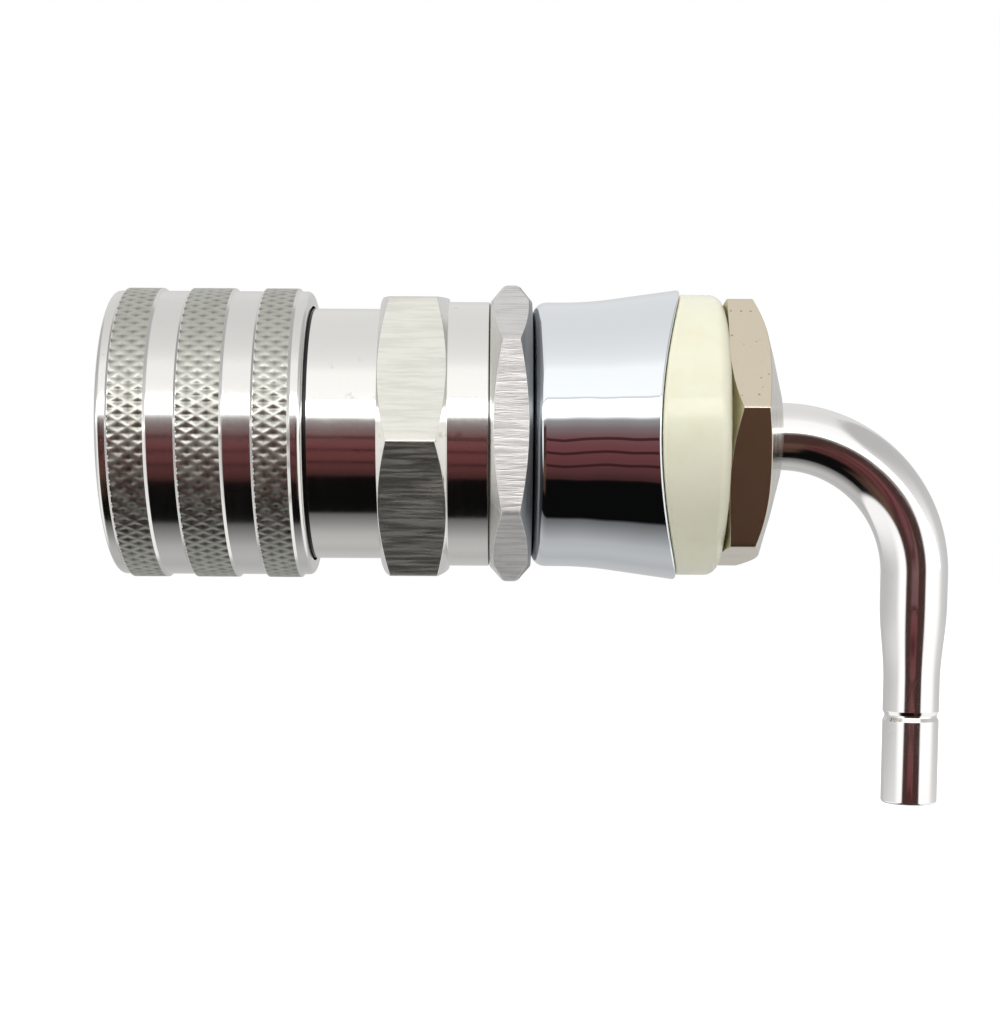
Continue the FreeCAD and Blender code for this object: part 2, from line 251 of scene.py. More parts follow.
class Shell:
    """Points and faces of one piece, gathered grid by grid."""

    def __init__(self) -> None:
        """Starts with nothing."""
        self.points: list[Array] = []
        self.faces: list[tuple[Array, Array]] = []
        self.marks: list[Array] = []
        self.count = 0

    def add_points(self, points: Array, marks: Array | None = None) -> Array:
        """Adds points and returns their numbers in the same layout.

        Args:
            points: array whose last axis is x, y, z in millimetres.
            marks: one value for each point, kept as the attribute mark.

        Returns:
            Whole numbers of the points, shaped as the points are.
        """
        flat = points.reshape(-1, 3)
        numbers = np.arange(self.count, self.count + len(flat)).reshape(points.shape[:-1])
        self.points.append(flat)
        self.marks.append(np.zeros(len(flat)) if marks is None else marks.ravel())
        self.count += len(flat)
        return numbers

    def add_faces(self, corners: Array, slot: Array | int = 0) -> None:
        """Adds faces with equal numbers of corners.

        Args:
            corners: (faces, corners) numbers of points.
            slot: material number of all faces, or one for each.
        """
        self.faces.append((corners, np.broadcast_to(slot, len(corners))))

    def add_fan(self, ring: Array, tip: Array) -> None:
        """Adds a point and the triangles that join it to a closed ring.

        Args:
            ring: numbers of the ring's points.
            tip: the point, as x, y and z.
        """
        end = self.add_points(tip[None])
        self.add_faces(np.stack([ring, np.roll(ring, -1), np.repeat(end, len(ring))], axis=-1))

    def add_strips(self, numbers: Array, wrap_columns: bool = True, wrap_rows: bool = False,
                   slots: Array | None = None) -> None:
        """Adds the four-sided faces of a grid of points.

        Args:
            numbers: (rows, columns) numbers of points.
            wrap_columns: whether the last column joins the first.
            wrap_rows: whether the last row joins the first.
            slots: material number of each row's strip.
        """
        here = numbers if wrap_rows else numbers[:-1]
        below = np.roll(numbers, -1, axis=0) if wrap_rows else numbers[1:]
        quads = np.stack([here, np.roll(here, -1, axis=1), np.roll(below, -1, axis=1), below], axis=-1)
        if not wrap_columns:
            quads = quads[:, :-1]
        rows, across = quads.shape[:2]
        slot = 0 if slots is None else np.repeat(slots[:rows], across)
        self.add_faces(quads.reshape(-1, 4), slot)

    def build(self, name: str, *finishes: "Finish", weighted: bool = True) -> bpy.types.Object:
        """Makes the object, with smooth shading between sharp creases and faces that point outwards.

        Args:
            name: name of the object and its mesh.
            finishes: one for each material number.
            weighted: whether its large faces keep their own slope.

        Returns:
            The object, at the origin.
        """
        mesh = bpy.data.meshes.new(name)
        mesh.vertices.add(self.count)
        mesh.vertices.foreach_set("co", (np.concatenate(self.points) * MM).ravel())
        loops = np.concatenate([corners.ravel() for corners, _ in self.faces])
        sizes = np.concatenate([np.full(len(corners), corners.shape[1]) for corners, _ in self.faces])
        mesh.loops.add(len(loops))
        mesh.loops.foreach_set("vertex_index", loops)
        mesh.polygons.add(len(sizes))
        mesh.polygons.foreach_set("loop_start", np.cumsum(sizes) - sizes)
        mesh.polygons.foreach_set("material_index", np.concatenate([slot for _, slot in self.faces]))
        mesh.update(calc_edges=True)
        mark = mesh.attributes.new("mark", "FLOAT", "POINT")
        mark.data.foreach_set("value", np.concatenate(self.marks).astype(np.float32))
        for finish in finishes:
            mesh.materials.append(finish.material())
        piece = bpy.data.objects.new(name, mesh)
        bpy.context.scene.collection.objects.link(piece)
        smooth_outwards(mesh)
        if weighted:
            weigh_normals(piece)
        return piece


def smooth_outwards(mesh: bpy.types.Mesh) -> None:
    """Turns a closed mesh's faces outwards and smooths all but its creases.

    Args:
        mesh: the mesh, which keeps its material numbers.
    """
    work = bmesh.new()
    work.from_mesh(mesh)
    bmesh.ops.recalc_face_normals(work, faces=work.faces)
    work.to_mesh(mesh)
    work.free()
    mesh.polygons.foreach_set("use_smooth", np.ones(len(mesh.polygons), dtype=bool))
    mesh.set_sharp_from_angle(angle=CREASE)


def weigh_normals(piece: bpy.types.Object) -> None:
    """Lets each large face keep its own slope up to the narrow rounding beside it.

    Args:
        piece: the piece.
    """
    weigh = piece.modifiers.new("weighted normals", "WEIGHTED_NORMAL")
    weigh.weight = 100
    weigh.keep_sharp = True


def turned_piece(name: str, keys: Sequence[tuple], angles: Array, *finishes: "Finish",
                 dressed: dict[int, int] | None = None) -> bpy.types.Object:
    """Closed ring about the axis from an outline of keys.

    Args:
        name: name of the object.
        keys: outline for round_corners.
        angles: angle of each column.
        finishes: finish of the turned sides, then the others.
        dressed: finish number of the outgoing side of a key, where it isn't the first.

    Returns:
        The object.
    """
    rows, sides = round_corners(keys, len(angles))
    shell = Shell()
    slots = np.array([(dressed or {}).get(int(side), 0) for side in sides])
    shell.add_strips(shell.add_points(around_axis(rows, angles)), wrap_rows=True, slots=slots)
    return shell.build(name, *finishes)


def fit(piece: bpy.types.Object, body: str, node: str) -> None:
    """Puts a piece on its body in place of its node, and reports it.

    Args:
        piece: the finished piece.
        body: name of the body that carries it.
        node: name of the node that it stands for.
    """
    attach(piece, body)
    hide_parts(node)
    log.info("%s: %d faces on %s", piece.name, len(piece.data.polygons), body)


# Shader node groups


class Graph:
    """Short ways to place and wire nodes in one node tree."""

    def __init__(self, tree: bpy.types.NodeTree) -> None:
        """Keeps the tree."""
        self.tree = tree

    def node(self, kind: str, inputs: dict | None = None, **settings: object) -> bpy.types.Node:
        """Adds a node.

        Args:
            kind: Blender's name for the node, without the ShaderNode before it.
            inputs: value or socket for each named or numbered input.
            settings: properties of the node.

        Returns:
            The node.
        """
        added = self.tree.nodes.new(kind if kind.startswith("Node") else "ShaderNode" + kind)
        for key, value in settings.items():
            setattr(added, key, value)
        for key, value in (inputs or {}).items():
            self.feed(added.inputs[key], value)
        return added

    def feed(self, socket: Socket, value: object) -> None:
        """Wires a socket to an input, or sets the input's own value.

        Args:
            socket: the input.
            value: what it gets.
        """
        if isinstance(value, Socket):
            self.tree.links.new(value, socket)
        else:
            socket.default_value = value

    def maths(self, operation: str, first: object, second: object = 0.0, clamp: bool = False) -> Socket:
        """Result of one sum on two values or sockets."""
        return self.node("Math", {0: first, 1: second}, operation=operation, use_clamp=clamp).outputs[0]

    def times(self, first: object, second: object) -> Socket:
        """Product of two values or sockets."""
        return self.maths("MULTIPLY", first, second)

    def plus(self, first: object, second: object) -> Socket:
        """Sum of two values or sockets."""
        return self.maths("ADD", first, second)

    def parts(self, vector: Socket) -> Sequence[Socket]:
        """The x, y and z of a vector."""
        return self.node("SeparateXYZ", {0: vector}).outputs

    def vector(self, x: object, y: object, z: object) -> Socket:
        """Vector of three values or sockets."""
        return self.node("CombineXYZ", {0: x, 1: y, 2: z}).outputs[0]

    def blend(self, factor: object, first: object, second: object) -> Socket:
        """Colour between two colours by a factor."""
        return self.node("Mix", {0: factor, 6: first, 7: second}, data_type="RGBA").outputs[2]

    def between(self, value: object, low: float, high: float, to_low: float = 0.0,
                to_high: float = 1.0) -> Socket:
        """Value carried smoothly from one range to another and held at its ends."""
        return self.node("MapRange", {0: value, 1: low, 2: high, 3: to_low, 4: to_high},
                         interpolation_type="SMOOTHSTEP").outputs[0]

    def inside(self, value: Socket, rise: tuple[float, float], fall: tuple[float, float]) -> Socket:
        """1 from the end of a rise of the value to the start of its fall, and 0 before and after."""
        return self.times(self.between(value, *rise), self.between(value, *fall))

    def noise(self, vector: object, scale: float, detail: float = 2.0, rough: float = 0.5) -> Socket:
        """Soft noise at a scale, from 0 to 1."""
        return self.node("TexNoise", {"Vector": vector, "Scale": scale, "Detail": detail,
                                      "Roughness": rough}).outputs[0]

    def stretched(self, vector: Socket, scale: Sequence[float]) -> Socket:
        """Vector with each axis times its own scale."""
        return self.node("Mapping", {"Vector": vector, "Scale": scale}).outputs[0]

    def relief(self, depth: float, height: Socket, **below: Socket) -> Socket:
        """Normal of a relief of a depth in millimetres, on the Normal below it where one is given."""
        return self.node("Bump", {"Strength": 1.0, "Distance": depth * MM, "Height": height,
                                  **below}).outputs[0]

    def group(self, name: str, place: Socket, **numbers: float) -> Sequence[Socket]:
        """Places a shared group at a place with its own numbers, and gives its outputs."""
        tree = bpy.data.node_groups[name]
        return self.node("Group", {"Place": place, **numbers}, node_tree=tree).outputs

    def ramp(self, angle: Socket, stops: Sequence[tuple[float, Colour]]) -> Socket:
        """Colour by an angle, already carried from -180 and 180 degrees to 0 and 1.

        Args:
            angle: the angle.
            stops: angle in degrees and colour of each stop, from -180 to 180.

        Returns:
            The colour.
        """
        ramp = self.node("ValToRGB", {0: angle})
        points = ramp.color_ramp.elements
        for place, colour in stops[1:-1]:
            points.new((place + 180.0) / 360.0).color = (*colour, 1.0)
        points[0].color, points[-1].color = (*stops[0][1], 1.0), (*stops[-1][1], 1.0)
        return ramp.outputs[0]


def new_group(name: str, inputs: dict[str, float], outputs: Sequence[str]) -> tuple[Graph, object, object]:
    """Empty node group that takes a vector named Place and some numbers.

    Args:
        name: name of the group.
        inputs: default of each number.
        outputs: names of the values that it puts out.

    Returns:
        Its graph, what it is given and what it puts out.
    """
    tree = bpy.data.node_groups.new(name, "ShaderNodeTree")
    tree.interface.new_socket("Place", in_out="INPUT", socket_type="NodeSocketVector")
    for key, value in inputs.items():
        socket = tree.interface.new_socket(key, in_out="INPUT", socket_type="NodeSocketFloat")
        socket.default_value = value
    for key in outputs:
        tree.interface.new_socket(key, in_out="OUTPUT", socket_type="NodeSocketFloat")
    graph = Graph(tree)
    return graph, graph.node("NodeGroupInput").outputs, graph.node("NodeGroupOutput").inputs


def turning_marks() -> None:
    """Group of the fine rings that a lathe leaves, read along x plus the distance from the axis."""
    graph, given, result = new_group("turning_marks", {"Fineness": 6.0}, ("Height", "Streak"))
    x, y, z = graph.parts(given["Place"])
    radius = graph.node("VectorMath", {0: graph.vector(0.0, y, z)}, operation="LENGTH").outputs["Value"]
    along = graph.times(graph.plus(x, radius), given["Fineness"])
    turned = graph.vector(along, graph.times(y, 0.02), graph.times(z, 0.02))
    graph.feed(result["Height"], graph.noise(turned, 1.0, 3.0, 0.6))
    graph.feed(result["Streak"], graph.between(graph.noise(turned, 0.23, 2.0, 0.55), 0.42, 0.62))


def grinding_marks() -> None:
    """Group of the straight streaks that a belt leaves along X on a flat."""
    graph, given, result = new_group("grinding_marks", {"Fineness": 1.0}, ("Height", "Streak"))
    x, y, z = graph.parts(given["Place"])
    wander = graph.times(graph.noise(given["Place"], 0.35, 1.0), 0.3)
    across = [graph.times(graph.plus(part, wander), given["Fineness"]) for part in (y, z)]
    streaks = graph.vector(graph.times(x, 0.09), *across)
    coarse = graph.noise(streaks, 1.7, 3.0, 0.6)
    hair = graph.noise(streaks, 6.5, 3.0, 0.65)
    graph.feed(result["Height"], graph.plus(graph.times(coarse, 0.6), graph.times(hair, 0.4)))
    graph.feed(result["Streak"], graph.between(coarse, 0.38, 0.66))


def handling_marks() -> None:
    """Group of what handling leaves: broad smudges, small stains and pin-pricks."""
    graph, given, result = new_group("handling_marks", {"Pits": 0.9}, ("Smudge", "Stain", "Pit"))
    place = given["Place"]
    graph.feed(result["Smudge"], graph.between(graph.noise(place, 0.16, 4.0, 0.62), 0.42, 0.68))
    blots = graph.between(graph.noise(place, 0.5, 3.0, 0.55), 0.62, 0.74)
    graph.feed(result["Stain"], graph.times(blots, graph.between(graph.noise(place, 0.11, 1.0), 0.48, 0.62)))
    cells = graph.node("TexVoronoi", {"Vector": place, "Scale": given["Pits"]})
    dots = graph.between(cells.outputs["Distance"], 0.22, 0.08)
    graph.feed(result["Pit"], graph.times(dots, graph.between(graph.noise(place, 0.4, 1.0), 0.52, 0.6)))


def ripples() -> None:
    """Group of slow waves in plating, with s = z - 0.8y.

    Their height is sin(0.47x + 0.23s) + 0.5 sin(1.13x - 0.31s + 1.7).
    """
    graph, given, result = new_group("ripples", {}, ("Height",))
    x, y, z = graph.parts(given["Place"])
    across = graph.plus(z, graph.times(y, -0.8))
    waves = []
    for along_rate, across_rate, lag, share in ((0.47, 0.23, 0.0, 1.0), (1.13, -0.31, 1.7, 0.5)):
        phase = graph.plus(graph.times(x, along_rate), graph.times(across, across_rate))
        waves.append(graph.times(graph.maths("SINE", graph.plus(phase, lag)), share))
    graph.feed(result["Height"], graph.plus(*waves))


# Finishes


@dataclass(frozen=True)
class Finish:
    """What every finish has: its name, the two colours that it wanders between, and its gloss."""

    name: str
    colour: Colour
    shade: Colour
    roughness: float

    def wire(self, graph: Graph, shader: object, place: Socket, handled: object) -> None:
        """Wires the shader's inputs; each kind of finish has its own way."""
        raise NotImplementedError

    def material(self) -> bpy.types.Material:
        """Builds the material at its first use, and finds it after that.

        Returns:
            The material.
        """
        name = self.name + "_finish"
        if name in bpy.data.materials:
            return bpy.data.materials[name]
        material = bpy.data.materials.new(name)
        material.use_nodes = True
        graph = Graph(material.node_tree)
        place = graph.stretched(graph.node("TexCoord").outputs["Object"], (1.0 / MM,) * 3)
        handled = graph.group("handling_marks", place)
        self.wire(graph, material.node_tree.nodes["Principled BSDF"].inputs, place, handled)
        return material


@dataclass(frozen=True)
class MetalFinish(Finish):
    """How one metal surface looks, by the way that it was worked, the marks that it carries and, on a knurl,
    painted shade in its pits.
    """

    grain: Grain = Grain.TURNED
    fineness: float = 6.0
    depth: float = 0.02
    streaking: float = 0.1
    smudging: float = 0.06
    staining: float = 0.25
    pitting: float = 0.0
    pit_shade_share: float = 0.0
    ripple: float = 0.0

    def wire(self, graph: Graph, shader: object, place: Socket, handled: object) -> None:
        """Wires colour, roughness and relief from the marks.

        Args:
            graph: the material's graph.
            shader: inputs of its shader.
            place: place on the object in millimetres.
            handled: outputs of the handling marks.
        """
        shader["Metallic"].default_value = 1.0
        height, streak = self.worked(graph, place)
        colour = graph.blend(graph.maths("MULTIPLY", streak, self.streaking * 2.0, clamp=True),
                             (*self.colour, 1.0), (*self.shade, 1.0))
        colour = graph.blend(graph.times(handled["Stain"], self.staining), colour, STAIN_BROWN)
        colour = graph.blend(graph.times(handled["Pit"], self.pitting), colour, PIT_BROWN)
        # Painted shade: the knurl's pits, read from the attribute mark, are darkened towards near-black
        if self.pit_shade_share > 0.0:
            mark = graph.node("Attribute", attribute_name="mark").outputs["Fac"]
            colour = graph.blend(graph.times(mark, self.pit_shade_share), colour, PAINTED_PIT_SHADE)
        graph.feed(shader["Base Color"], colour)
        rough = graph.plus(graph.times(streak, self.streaking), graph.times(handled["Smudge"], self.smudging))
        graph.feed(shader["Roughness"], graph.maths("ADD", rough, self.roughness, clamp=True))
        normal = graph.relief(self.depth, height)
        if self.ripple > 0.0:
            normal = graph.relief(self.ripple, graph.group("ripples", place)["Height"], Normal=normal)
        graph.feed(shader["Normal"], normal)

    def worked(self, graph: Graph, place: Socket) -> tuple[Socket, Socket]:
        """Height and streak of the marks that the grain names.

        Args:
            graph: the material's graph.
            place: place on the object in millimetres.

        Returns:
            Two sockets.
        """
        if self.grain in (Grain.TURNED, Grain.GROUND):
            marks = graph.group(self.grain.value, place, Fineness=self.fineness)
            return marks["Height"], marks["Streak"]
        fine, broad = self.fineness, self.fineness * 0.2
        if self.grain is Grain.DRAWN:
            place = graph.stretched(graph.node("UVMap", uv_map="along").outputs[0], (self.fineness, 0.6, 1.0))
            fine, broad = 8.0, 3.0
        return graph.noise(place, fine, 3.0, 0.6), graph.between(graph.noise(place, broad, 2.0), 0.42, 0.64)


@dataclass(frozen=True)
class MouldedFinish(Finish):
    """A moulded or fibrous surface that isn't metal."""

    mottle_scale: float
    depth: float
    coat: float = 0.0
    inner_light: float = 0.0

    def wire(self, graph: Graph, shader: object, place: Socket, handled: object) -> None:
        """Wires a mottled colour, a little roughness from handling, and a fine relief.

        Args:
            graph: the material's graph.
            shader: inputs of its shader.
            place: place on the object in millimetres.
            handled: outputs of the handling marks.
        """
        mottle = graph.noise(place, self.mottle_scale, 4.0, 0.6)
        graph.feed(shader["Base Color"], graph.blend(
            graph.between(mottle, 0.35, 0.7), (*self.colour, 1.0), (*self.shade, 1.0)))
        graph.feed(shader["Roughness"], graph.plus(graph.times(handled["Smudge"], 0.08), self.roughness))
        for key, value in (("Coat Weight", self.coat), ("Coat Roughness", 0.12),
                           ("Subsurface Weight", self.inner_light), ("Subsurface Scale", MM)):
            shader[key].default_value = value
        fine = graph.noise(place, self.mottle_scale * 5.0, 3.0, 0.6)
        graph.feed(shader["Normal"], graph.relief(self.depth, fine))


BARREL_STEEL = MetalFinish("barrel_steel", (0.76, 0.75, 0.72), (0.70, 0.69, 0.66), 0.09, fineness=9.0,
                           depth=0.0008, streaking=0.02, smudging=0.03, staining=0.35)
HEX_STEEL = MetalFinish("hex_flat_steel", (0.68, 0.675, 0.62), (0.42, 0.415, 0.365), 0.29, Grain.GROUND, 1.2,
                        0.004, 0.16, 0.03, 0.15)
SLEEVE_STEEL = MetalFinish("sleeve_steel", (0.69, 0.68, 0.66), (0.64, 0.63, 0.61), 0.12, fineness=10.0,
                           depth=0.0008, streaking=0.02, smudging=0.03)
# The knurl's pits take painted shade, at 0.55 of the way to near-black
KNURL_STEEL = MetalFinish("knurl_steel", (0.475, 0.475, 0.43), (0.36, 0.36, 0.32), 0.30, Grain.PLAIN, 3.0,
                          0.01, 0.12, 0.05, pit_shade_share=0.55)
NUT_STEEL = MetalFinish("nut_steel", (0.72, 0.72, 0.69), (0.62, 0.62, 0.60), 0.20, fineness=7.0,
                        depth=0.004, streaking=0.04, smudging=0.02)
NUT_FLAT_STEEL = MetalFinish("nut_flat_steel", (0.70, 0.69, 0.675), (0.43, 0.415, 0.40), 0.35, Grain.GROUND,
                             1.0, 0.13, 0.22, 0.05)
# Near-black steel on the lock nut's faces and rear chamfer: painted shade in its joints with the coupler and
# the flange
PAINTED_NUT_SHADE = MetalFinish("painted_nut_shade", (0.20, 0.21, 0.22), (0.14, 0.14, 0.14), 0.29, fineness=7.0,
                         depth=0.002, streaking=0.08)
CHROME = MetalFinish("flange_chrome", (0.745, 0.775, 0.80), (0.735, 0.765, 0.79), 0.015, Grain.PLAIN, 0.6,
                     0.0006, 0.01, 0.01, 0.0, ripple=0.011)
HEAD_METAL = MetalFinish("head_metal", (0.66, 0.59, 0.465), (0.62, 0.545, 0.43), 0.20, Grain.PLAIN, 1.2,
                         0.002, 0.015, 0.02, 0.20, pitting=0.5)
HEAD_BACK = MetalFinish("head_back", (0.66, 0.64, 0.58), (0.56, 0.54, 0.48), 0.16, fineness=5.0, depth=0.004,
                        streaking=0.08)
HEAD_INNER = MetalFinish("head_inner", (0.58, 0.55, 0.40), (0.50, 0.47, 0.33), 0.30, Grain.PLAIN, 1.2, 0.002,
                         0.04, 0.03, 0.20)
THREAD_STEEL = MetalFinish("thread_steel", (0.62, 0.60, 0.55), (0.50, 0.48, 0.44), 0.28, Grain.PLAIN, 3.0,
                           0.01, 0.12, 0.08)
TAIL_STEEL = MetalFinish("tail_steel", (0.78, 0.77, 0.76), (0.72, 0.71, 0.70), 0.09, Grain.DRAWN, 9.0, 0.0004,
                         0.015, 0.03, 0.15)
# Near-black band on the barrel behind the sleeve's rear lip: a painted shadow where the lip shades the barrel
PAINTED_SHADOW_STEEL = MetalFinish("painted_shadow_band", (0.045, 0.045, 0.045), (0.03, 0.03, 0.03), 0.30, fineness=7.0,
                         depth=0.001, streaking=0.04)
BALL_STEEL = MetalFinish("ball_steel", (0.78, 0.78, 0.78), (0.72, 0.72, 0.72), 0.06, Grain.PLAIN, 2.0, 0.0005,
                         0.02, 0.04)
SPRING_STEEL = MetalFinish("spring_steel", (0.52, 0.50, 0.47), (0.42, 0.40, 0.37), 0.28, Grain.PLAIN, 3.0,
                           0.006, 0.12, 0.08)
IVORY_NYLON = MouldedFinish("ivory_nylon", (0.90, 0.885, 0.70), (0.875, 0.855, 0.655), 0.34, 0.25, 0.004,
                            0.6, 0.12)
SEAL_RUBBER = MouldedFinish("seal_rubber", (0.030, 0.030, 0.032), (0.045, 0.043, 0.042), 0.48, 1.5, 0.01)


# Pieces


@dataclass
class Sleeve:
    """Sliding sleeve with three knurled bands, its washer and its spring."""

    knurl_height: float = 0.4
    knurl_depth: float = 0.17
    shoulder: float = 0.34
    rim: float = 0.12
    bands: tuple[tuple[float, float], ...] = ((1.5, 5.4), (10.55, 6.45), (20.75, 5.25))
    diamonds_around: int = 77
    diamond_length: float = 2.7
    steps_in_diamond: int = 8
    least_step: float = 0.4
    ridge_reach: float = 0.44
    ridge_power: float = 1.2
    pit_power: float = 1.2
    front_round: float = 1.3
    rear_round: float = 1.5
    bore_columns: int = 154
    skirt_radius: float = 17.95
    skirt_edge: float = 0.2
    bore_radius: float = 15.57
    lip_radius: float = 16.95
    stop_depth: float = 2.5
    cone_depth: float = 3.7
    cone_rear_depth: float = 12.9
    seat_depth: float = 14.4
    cone_angle: float = 12.0
    washer_columns: int = 160
    wire: float = 1.1
    wire_columns: int = 14
    turns: float = 3.5
    steps_in_turn: int = 72

    def ridges(self, lag: Array) -> Array:
        """Height of the ridge at a distance, in diamonds, from its line: (1 - (t / reach)^2)^power.

        Args:
            lag: distance along either family of lines, in diamonds.

        Returns:
            Heights from 0 to 1.
        """
        t = np.abs(lag - np.round(lag))
        return np.clip(1.0 - (t / self.ridge_reach) ** 2, 0.0, 1.0) ** self.ridge_power

    def outer_keys(self, front: float, rear: float,
                   radius: float) -> tuple[list[tuple], list[tuple[int, int]]]:
        """Outline of the outside from the front lip to the rear lip.

        Args:
            front: x of the front face.
            rear: x of the rear face.
            radius: radius between the bands.

        Returns:
            The keys, and the first and last key of the rows between each band's rims.
        """
        top = radius + self.knurl_height
        step = self.diamond_length / self.steps_in_diamond
        keys: list[tuple] = [(front, self.lip_radius, CLEAN), (front, radius, self.front_round)]
        spans: list[tuple[int, int]] = []
        for offset, width in self.bands:
            start, stop = front + offset, front + offset + width
            first = start + self.shoulder + self.rim
            last = stop - self.shoulder - self.rim
            inner = np.arange(first, last - self.least_step * step, step)
            keys += [(start, radius, HAIR), (start + self.shoulder, top, HAIR)]
            spans.append((len(keys), len(keys) + len(inner)))
            keys += [(x, top) for x in (*inner, last)]
            keys += [(stop - self.shoulder, top, HAIR), (stop, radius, HAIR)]
        keys += [(rear, radius, self.rear_round), (rear, self.skirt_radius, FINE)]
        return keys, spans

    def build(self) -> None:
        """Knurled outside on many columns, stitched at both lips to a plain inside on fewer."""
        low, high = extent("sleeve")
        columns = self.diamonds_around * self.steps_in_diamond
        keys, spans = self.outer_keys(low[0], high[0], high[2] - self.knurl_height)
        rows, sides = round_corners(keys, 1, closed=False)
        rows = np.repeat(rows, columns, axis=1)
        pits = np.zeros(rows.shape[:2])
        knurled = np.zeros(len(rows), dtype=bool)
        turn = np.arange(columns)[None, :] / self.steps_in_diamond
        for first, last in spans:
            inside = (sides >= first) & (sides <= last)
            along = (rows[inside, :1, 0] - rows[inside, 0, 0].min()) / self.diamond_length
            height = np.maximum(self.ridges(turn + along), self.ridges(turn - along))
            rows[inside, :, 1] -= self.knurl_depth * (1.0 - height)
            # Depth of each pit, kept as the attribute mark that paints shade into the pits
            pits[inside] = (1.0 - height) ** self.pit_power
            knurled |= inside
        shell = Shell()
        numbers = shell.add_points(around_axis(rows, even_angles(columns)), pits)
        self.add_knurl_faces(shell, numbers, knurled)
        self.add_bore(shell, numbers, low[0], high[0])
        fit(shell.build("sleeve_surface", SLEEVE_STEEL, KNURL_STEEL), "sleeve_grip", "sleeve")

    def add_knurl_faces(self, shell: Shell, numbers: Array, knurled: Array) -> None:
        """Faces of the outside, split along the ridges where it is knurled.

        Args:
            shell: the piece so far.
            numbers: (rows, columns) of the outside.
            knurled: whether each row lies between a band's rims.
        """
        ring = np.roll(numbers, -1, axis=1)
        quads = np.stack([numbers[:-1], ring[:-1], ring[1:], numbers[1:]], axis=-1)
        both = knurled[:-1] & knurled[1:]
        shell.add_faces(quads[~both].reshape(-1, 4))
        starts = np.flatnonzero(both & ~np.concatenate([[False], both[:-1]]))
        row = np.arange(len(both))
        row = row - starts[np.clip(np.searchsorted(starts, row, "right") - 1, 0, None)]
        n = self.steps_in_diamond
        column = np.arange(numbers.shape[1])[None, :]
        rising = (row[:, None] + column + 1) % n
        falling = (column - row[:, None]) % n
        nearer = np.minimum(rising, n - rising) < np.minimum(falling, n - falling)
        a, b, c, d = (quads[both][..., k] for k in range(4))
        split = nearer[both][..., None]
        first = np.where(split, np.stack([a, b, d], axis=-1), np.stack([a, b, c], axis=-1))
        second = np.where(split, np.stack([b, c, d], axis=-1), np.stack([a, c, d], axis=-1))
        shell.add_faces(np.concatenate([first.reshape(-1, 3), second.reshape(-1, 3)]), 1)

    def add_bore(self, shell: Shell, numbers: Array, front: float, rear: float) -> None:
        """Stop, locking cone, seat and skirt inside, joined to the lips of the outside.

        Args:
            shell: the piece so far.
            numbers: (rows, columns) of the outside.
            front: x of the front face.
            rear: x of the rear face.
        """
        depths = (self.stop_depth, self.cone_depth, self.cone_rear_depth, self.seat_depth)
        stop, cone_front, cone_rear, seat = (front + depth for depth in depths)
        cone_radius = self.bore_radius + math.tan(math.radians(self.cone_angle)) * (cone_rear - cone_front)
        keys = [(rear, self.skirt_radius), (rear - self.skirt_edge, self.skirt_radius),
                (seat, self.skirt_radius, CRISP), (seat, self.bore_radius, CRISP),
                (cone_rear, self.bore_radius), (cone_front, cone_radius, CRISP),
                (cone_front, self.bore_radius, CRISP), (stop, self.bore_radius, CRISP),
                (stop, self.lip_radius, CRISP), (front, self.lip_radius)]
        rows, _ = round_corners(keys, self.bore_columns, closed=False)
        inner = shell.add_points(around_axis(rows[1:-1], even_angles(self.bore_columns)))
        shell.add_strips(inner)
        share = numbers.shape[1] // self.bore_columns
        for edge, line in ((numbers[-1], inner[0]), (numbers[0], inner[-1])):
            fans = edge.reshape(self.bore_columns, share)
            ends = np.roll(fans[:, 0], -1)[:, None]
            shell.add_faces(np.concatenate([fans, ends, np.roll(line, -1)[:, None], line[:, None]], axis=1))

    def build_washer(self) -> None:
        """Flat washer that the spring pushes on."""
        low, high = extent("thrust_washer")
        keys = flat_ring(low, high, self.bore_radius, high[2], KEEN, FINE)
        piece = turned_piece("thrust_washer_surface", keys, even_angles(self.washer_columns), SPRING_STEEL)
        fit(piece, "sleeve_carriage", "thrust_washer")

    def build_spring(self) -> None:
        """Wire wound on a helix: a circle carried square to the helix, with flat ends.
        """
        low, high = extent("sleeve_spring")
        half = self.wire / 2.0
        radius = high[2] - half
        start, stop = low[0] + half, high[0] - half
        turn = np.linspace(0.0, 2.0 * np.pi * self.turns, int(self.turns * self.steps_in_turn) + 1)
        pitch = (stop - start) / turn[-1]
        centre = np.stack([start + pitch * turn, radius * np.cos(turn), radius * np.sin(turn)], axis=-1)
        outward = np.stack([np.zeros_like(turn), np.cos(turn), np.sin(turn)], axis=-1)
        heading = np.stack([np.full_like(turn, pitch), -radius * np.sin(turn), radius * np.cos(turn)],
                           axis=-1)
        heading /= np.linalg.norm(heading, axis=-1, keepdims=True)
        side = np.cross(heading, outward)
        lap = even_angles(self.wire_columns)[None, :, None]
        ring = outward[:, None] * np.cos(lap) + side[:, None] * np.sin(lap)
        shell = Shell()
        numbers = shell.add_points(centre[:, None] + ring * half)
        shell.add_strips(numbers)
        shell.add_faces(numbers[[0, -1]])
        piece = shell.build("sleeve_spring_surface", SPRING_STEEL)
        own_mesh(piece)
        fit(piece, "coupler", "sleeve_spring")


